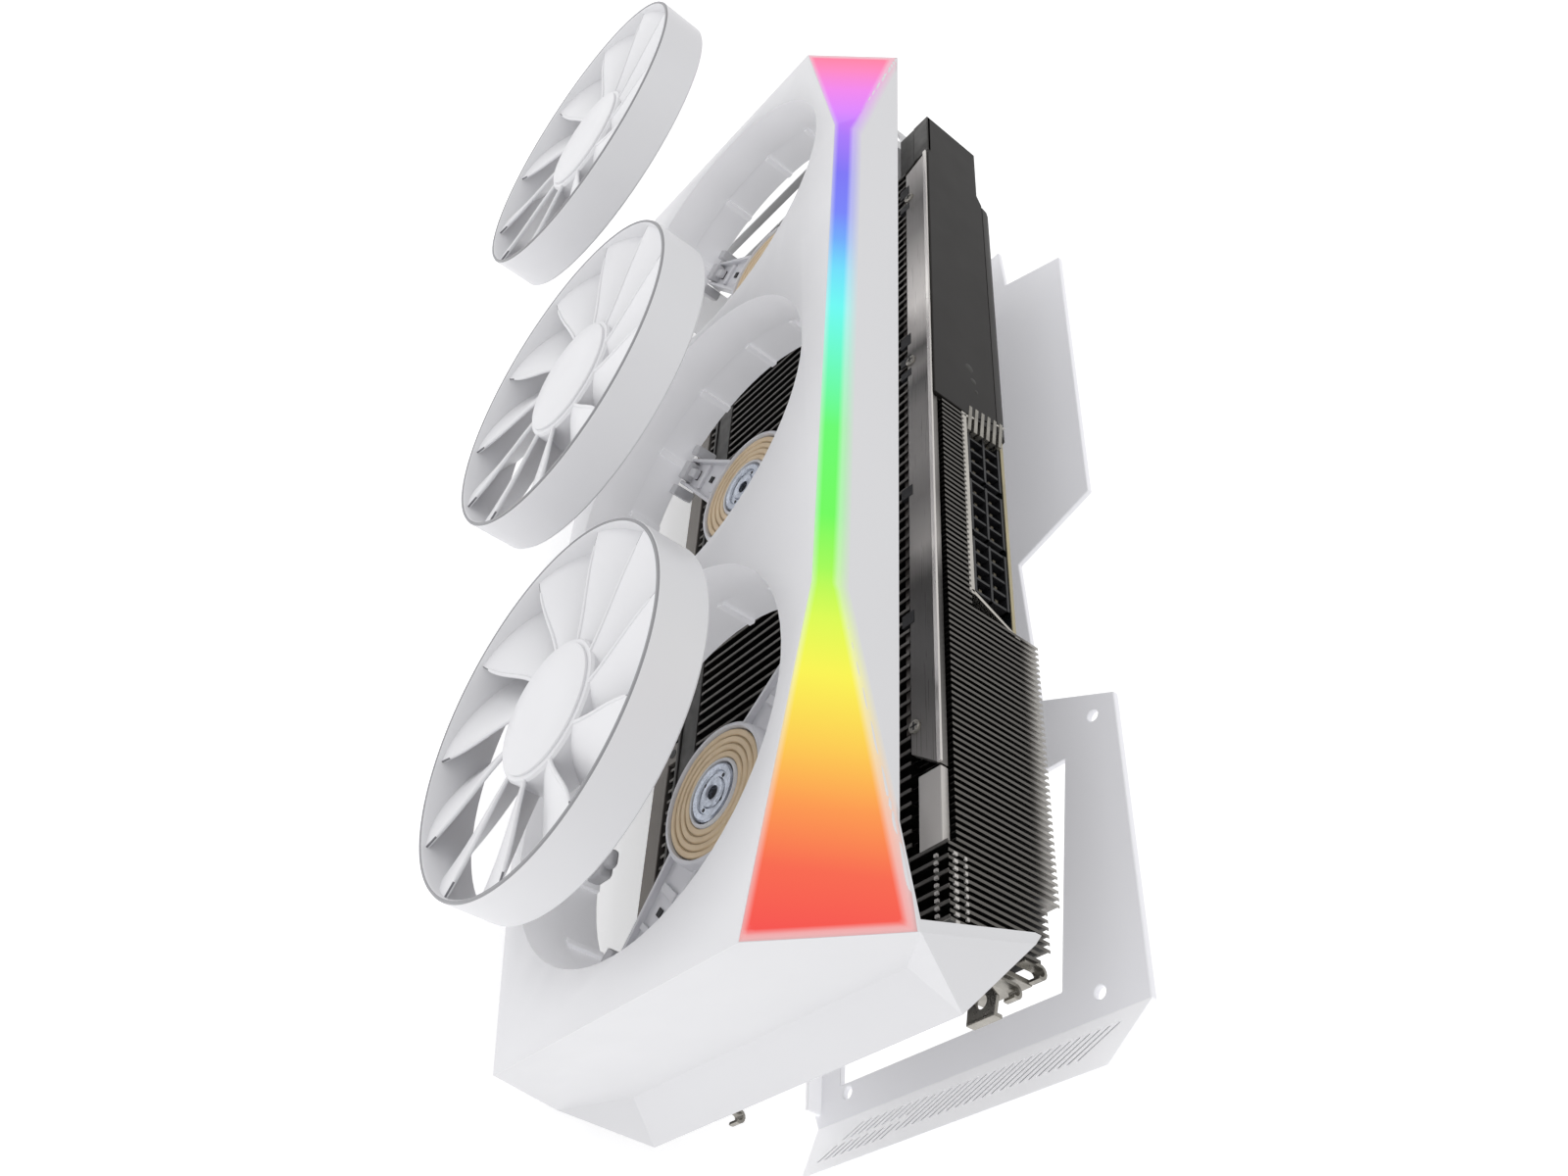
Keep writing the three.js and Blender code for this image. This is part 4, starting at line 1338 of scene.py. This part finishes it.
def make_heatsink():
    make_fins()
    make_piece("fin_lock_tabs", fin_tabs(), "pale", "fin_stack_main")
    make_piece("fin_side_panel", fin_panel(), "fin_base", "fin_stack_main", bevel=0.2)
    make_piece("front_rail_plate", rail_plate(), "rail", "front_rail", ["front_rail"], bevel=0.25)
    make_piece("front_rail_lip", rail_lip(), "edge", "front_rail", bevel=0.2)
    make_piece("front_rail_inner_strip", rail_inner_strip(), "strip", "front_rail", bevel=0.2)
    make_piece("front_rail_notches", rail_notches(), "dark", "front_rail")
    make_piece("front_rail_screws", rail_screws(), "aged", "front_rail", second="dark")
    refined("tail_block", "pale", 0.4)
    make_piece("slot_rail_plate", slot_rail_plate(), "slot_rail", "slot_rail", ["slot_rail"], bevel=0.3)
    make_piece("slot_rail_holes", slot_rail_holes(), "dark", "slot_rail")
    make_piece("side_cover_sheet", cover_sheet(), "cover", "side_cover", ["side_cover"], bevel=0.3)
    make_piece("side_cover_front", cover_front(), "cover_front", "side_cover", bevel=0.3)
    make_piece("side_cover_edge", cover_edge(), "cover", "side_cover", smooth_angle=40)
    make_piece("side_cover_dimples", cover_marks(), "cover_front", "side_cover")
    refined("cold_plate", "nickel", 0.3)
    for n in (1, 2, 3, 4):
        refined(f"heat_pipe_{n}", "copper", 0)


# ---------------------------------------------------------------- sockets, tabs and board
def sockets_surround():
    """A bright strip in front of the power sockets, with slanted ends."""
    s = sockets_frame
    rim, slant = 1.4, 7
    bm = lone_block(s.x0 - 1, s.x1 + 1, s.y0 - rim, s.y0 + 0.6, s.z0, s.z1)
    for x, end in ((s.x0, -1), (s.x1, 1)):
        far = x + end * slant
        outline = [(x, s.y0 - rim), (far, s.y1 - 1), (far, s.y1 + 1), (x - end * 0.6, s.y0)]
        add_prism(bm, outline, "Z", s.z0 - 2, s.z1)
    return bm


def socket_end_ribs():
    """The bright ribbed ramp at the sockets' bracket end."""
    s = sockets_frame
    ribs = 6
    run = (s.y1 - s.y0 - 1) / ribs
    bm = bmesh.new()
    for k in range(ribs):
        y = s.y0 + 0.6 + k * run
        x = s.x0 + 0.4 - 0.35 * k
        outline = [(x - 6, y + run * 0.5), (x + 5, y), (x + 5, y + run * 0.55), (x - 6, y + run)]
        add_prism(bm, outline, "Z", s.z1 - 4, s.z1 + 0.2)
    return bm


def power_socket(n):
    """A six-or-eight pin style socket: two rows of four square cells, with a latch ridge."""
    s = span(f"power_socket_{n}")
    columns, rows = 4, 2
    wall, half_pin = 0.8, 0.5
    pitch_x, pitch_y = (s.x1 - s.x0 - wall) / columns, (s.y1 - s.y0 - wall) / rows
    bm = lone_block(s.x0, s.x1, s.y0, s.y1, s.z0, s.z1 - 7)
    for c in range(columns + 1):
        x = s.x0 + c * pitch_x
        add_block(bm, x, x + wall, s.y0, s.y1, s.z1 - 7.2, s.z1 - 0.2)
    for r in range(rows + 1):
        y = s.y0 + r * pitch_y
        add_block(bm, s.x0, s.x1, y, y + wall, s.z1 - 7.1, s.z1)
    add_block(bm, s.x0 + 7, s.x0 + 13, s.y0 - 1.2, s.y0 + 0.2, s.z0 + 12, s.z1 - 1.5)
    for c in range(columns):
        for r in range(rows):
            x = s.x0 + wall / 2 + (c + 0.5) * pitch_x
            y = s.y0 + wall / 2 + (r + 0.5) * pitch_y
            add_block(bm, x - half_pin, x + half_pin, y - half_pin, y + half_pin,
                      s.z1 - 7.2, s.z1 - 1.4, material=1)
    return bm


def tail_tabs():
    """A neck that runs from the last fin to a small tab with a screw hole."""
    s = span("tail_bracket")
    front, top = s.y0 - 0.6, s.z1
    end = shroud.x1 - 6.5
    neck = end - 9
    bm = bmesh.new()
    add_prism(bm, [
        (neck, top - 9.5), (end, top - 11), (end, top - 2.5), (end - 4, top - 1.5), (neck, top - 5),
    ], "Y", front, front + 1.0)
    hole = bmesh.new()
    add_disc(hole, 1.7, front - 2, front + 3, end - 4, top - 6.3, sides=28)
    bm = carved(bm, hole)
    add_block(bm, end - 0.6, end + 0.4, front, front + 2.6, top - 11, top - 2.5)
    add_prism(bm, [
        (neck, top - 6.5), (neck, top - 3), (s.x0, top + 2), (s.x0, top - 4),
    ], "Y", front + 0.6, front + 1.8)
    add_block(bm, s.x0 + 3, s.x0 + 4.4, s.y0, s.y1, top - 15, top)
    return bm


def curled_ear(y, z, x):
    """A strip of metal that runs back and curls over."""
    steps = 9
    curl, thick, half = 1.5, 0.4, 1.6
    path = [Vector((x, y - 5, z)), Vector((x, y, z))]
    for k in range(1, steps + 1):
        a = math.pi * 1.15 * k / steps
        path.append(Vector((x + curl * (1 - math.cos(a)), y + curl * math.sin(a), z)))
    bm = bmesh.new()
    across = Vector((0, 0, 1))
    corners = ((-1, -1), (1, -1), (1, 1), (-1, 1))
    rings = []
    for point, ahead in zip(path, directions(path)):
        out = ahead.normalized().cross(across) * thick
        rings.append([bm.verts.new(point + out * s + across * half * t) for s, t in corners])
    add_skin(bm, rings)
    return bm


def gold_fingers():
    """The contacts of the edge connector, on both faces, with the key gap left out."""
    bm = bmesh.new()
    pitch, wide, proud, sunk = 1.0, 0.7, 0.04, 0.1
    start, end, key = board.x0 + 44, board.x0 + 131, board.x0 + 55
    faces = ((board.y0 - proud, board.y0 + sunk), (board.y1 - sunk, board.y1 + proud))
    for k in range(int((end - start) / pitch)):
        x = start + k * pitch
        if key - 1 < x < key + 2.4:
            continue
        for y0, y1 in faces:
            add_block(bm, x, x + wide, y0, y1, board.z0 + 0.6, board.z0 + 5.4)
    return bm


def board_parts():
    """Small capacitors and coils on the back of the board, laid out in loose rows."""
    bm = bmesh.new()
    dice = random.Random(4)
    spring = span("spring_plate")
    clear = 4
    for column in range(26):
        for row in range(9):
            if dice.random() < 0.45:
                continue
            x = board.x0 + 12 + column * 7.6 + dice.random() * 2
            z = board.z0 + 22 + row * 10.5 + dice.random() * 3
            if spring.x0 - clear < x < spring.x1 + clear and spring.z0 - clear < z < spring.z1 + clear:
                continue
            long, wide = 1.6 + 1.8 * dice.random(), 0.9 + 0.6 * dice.random()
            tint = dice.randrange(2)
            add_block(bm, x, x + long, board.y1 - 0.05, board.y1 + 0.7, z, z + wide, material=tint)
    return bm


def board_chokes():
    """The power stages' square coils in three columns on the front of the board."""
    bm = bmesh.new()
    front = board.y0 - 5.4
    for column in (board.x0 + 22, board.x0 + 158, board.x0 + 176):
        for row in range(6):
            z = board.z0 + 24 + row * 12.5
            add_block(bm, column, column + 8, front, board.y0 - 0.05, z, z + 8)
    return bm


def make_board():
    refined("circuit_board", "solder_mask", 0)
    make_piece("board_lit_edge", board_edge(), "laminate", "circuit_board")
    make_piece("edge_contacts", gold_fingers(), "gilt", "circuit_board")
    make_piece("board_small_parts", board_parts(), "chip", "circuit_board", second="pale")
    make_piece("board_coils", board_chokes(), "chip", "circuit_board", bevel=0.4)
    refined("graphics_chip", "die", 0.1)
    for n in range(1, 9):
        refined(f"memory_chip_{n}", "chip", 0.12)
    refined("spring_plate", "nickel", 0.3)
    make_piece("spring_plate_screws", spring_screws(), "screw", "spring_plate", second="dark")


def board_edge():
    """The bare laminate along the board's top edge."""
    return lone_block(sockets_frame.x0 - 6, board.x1 - 0.2, board.y0 + 0.2, board.y1 - 0.2,
                      board.z1 - 0.3, board.z1 + 0.25)


def spring_screws():
    """Four screws at the spring plate's corners."""
    s = span("spring_plate")
    bm = bmesh.new()
    for x in (s.x0 + 4, s.x1 - 4):
        for z in (s.z0 + 4, s.z1 - 4):
            screw(bm, (x, s.y1 + 0.4, z), (0, 1, 0), 2.6, 0.9)
    return bm


def display_tongue(n):
    """The contact tongue in a display socket."""
    s = span(f"display_socket_{n}")
    return lone_block(s.x0 + 1.5, s.x0 + 9, s.y0 + 2.7, s.y0 + 3.9, s.z0 + 2.4, s.z1 - 2.4)


def make_sockets():
    make_piece("socket_surround", sockets_surround(), "nickel", "connector_frame",
               ["connector_frame"], bevel=0.2)
    make_piece("socket_end_ribs", socket_end_ribs(), "aged", "connector_frame", bevel=0.15)
    for n in (1, 2, 3):
        node = f"power_socket_{n}"
        make_piece(f"power_socket_cells_{n}", power_socket(n), "socket", node, [node], second="pin")
    for n in (1, 2, 3, 4):
        node = f"display_socket_{n}"
        refined(node, "nickel", 0.25)
        make_piece(f"display_socket_tongue_{n}", display_tongue(n), "socket", node, bevel=0.15)


def make_ends():
    """The metal at the card's two ends: the tail bracket with its curls, and the slot bracket."""
    s = span("tail_bracket")
    make_piece("tail_ears", tail_tabs(), "aged", "tail_bracket", ["tail_bracket"], bevel=0.2)
    curls = {
        "top": (s.y0 + 8.5, s.z1 + 2, s.x0 + 1.0),
        "middle": (s.y0 + 4.5, s.z1 - 2, s.x0 + 5.5),
        "low": (s.y0 + 0.5, fins.z0 + 17.5, s.x0 + 9.5),
    }
    for name, place in curls.items():
        make_piece(f"tail_curl_{name}", curled_ear(*place), "aged", "tail_bracket")
    refined("slot_bracket", "bracket", 0.25)


# ---------------------------------------------------------------- backplate
backplate_sheet = 2
fold_x = plate.x1 - 18.5
back_y = plate.y1


def backplate_outline():
    """The flat part's outline in X and Z."""
    x0, middle = plate.x0, (plate.z0 + plate.z1) / 2 + 3.5
    half = 59
    return [
        (x0, plate.z0), (x0 + 303, plate.z0), (fold_x, middle - half), (fold_x, middle + half),
        (x0 + 231, middle + half), (x0 + 220, middle + 33), (x0 + 164, middle + 29),
        (x0 + 153, middle + half), (x0 + 32, middle + half), (x0 + 23, middle + 33),
        (x0, middle + 31),
    ]


def backplate_flat():
    """The flat plate with its window and screw holes."""
    inner = back_y - backplate_sheet
    x0, middle = plate.x0 + 3, fan_z
    front, back = inner - 3, back_y + 3
    bm = bmesh.new()
    add_prism(bm, backplate_outline(), "Y", inner, back_y)
    tool = bmesh.new()
    add_prism(tool, [
        (x0 + 241, middle - 50), (x0 + 307, middle - 50),
        (x0 + 307, middle + 32), (x0 + 241, middle + 40),
    ], "Y", front, back)
    holes = ((311, 44), (310, -47), (20, 20), (20, -55), (232, -52), (232, 51))
    for along, up in holes:
        add_disc(tool, 1.7, front, back, x0 + along, middle + up, sides=28)
    return carved(bm, tool)


def backplate_fold():
    """The tail end, turned forward, with a band of fine diagonal slots."""
    inner = back_y - backplate_sheet
    end_x, end_y = plate.x1 - 1, plate.y0
    half, end_half = 59, 52.5
    outline = (
        (fold_x - 0.2, inner, half), (end_x, end_y, end_half), (end_x + 1, end_y + 1.7, end_half),
        (fold_x + 0.9, back_y, half), (fold_x - 0.2, back_y, half),
    )
    bm = bmesh.new()
    ends = [[bm.verts.new((x, y, fan_z + side * h)) for x, y, h in outline] for side in (-1, 1)]
    add_skin(bm, ends)
    return carved(bm, fold_slots())


def fold_slots():
    """The cutters for the fold's slots: short ones in two columns at first, then long ones."""
    slots, split_slots = 30, 9
    pitch, slot_width = 3.05, 1.15
    lean = 1.15
    short, long = ((3.6, 8.2, 0), (9.4, 13.6, 5.8)), ((4.0, 12.4, 0),)
    tool = bmesh.new()
    for k in range(slots):
        for start, stop, shift in short if k < split_slots else long:
            z = fan_z - 38 + k * pitch - shift * lean
            fall = (stop - start) * lean
            add_prism(tool, [
                (fold_x + start, z), (fold_x + start, z + slot_width),
                (fold_x + stop, z - fall + slot_width), (fold_x + stop, z - fall),
            ], "Y", plate.y0 - 4, back_y + 4)
    return tool


def fold_slot_shade():
    """A thin grey sheet let into the fold behind its slots: painted shade seen through them."""
    inner = back_y - backplate_sheet
    slope = (inner - plate.y0) / (plate.x1 - 1 - fold_x)
    front, back = 0.3, 1.25
    near, far = ((fold_x + reach, inner - reach * slope) for reach in (2.6, 14.6))
    bm = bmesh.new()
    add_prism(bm, [
        (near[0], near[1] + front), (far[0], far[1] + front),
        (far[0], far[1] + back), (near[0], near[1] + back),
    ], "Z", fan_z - 54, fan_z + 51)
    return bm


def backplate_flange():
    """A small folded tab at the slot-side corner."""
    low, high = plate.z0 + 6.6, plate.z0 + 8.0
    return lone_block(fold_x - 16, fold_x - 4, back_y - 7, back_y - 0.3, low, high)


def mark_back_faces(bm):
    """Gives the faces that look away from the card their second material."""
    bm.normal_update()
    for face in bm.faces:
        if face.normal.y > 0.3:
            face.material_index = 1
    return bm


def make_backplate():
    flat = mark_back_faces(backplate_flat())
    make_piece("backplate_flat", flat, "backplate", "backplate", ["backplate"], bevel=0.5,
               second="outside")
    fold = mark_back_faces(backplate_fold())
    make_piece("backplate_fold", fold, "fold", "backplate", bevel=0.12, second="outside")
    make_piece("backplate_slot_shade", fold_slot_shade(), "screen", "backplate")
    make_piece("backplate_tab", backplate_flange(), "fold", "backplate", bevel=0.5)


# ---------------------------------------------------------------- the whole card
looks = make_looks()
make_camera()
make_light()
make_floor()
for number in fan_numbers:
    make_fan(number)
    make_motor(number)
make_shroud()
make_heatsink()
make_board()
make_sockets()
make_ends()
make_backplate()
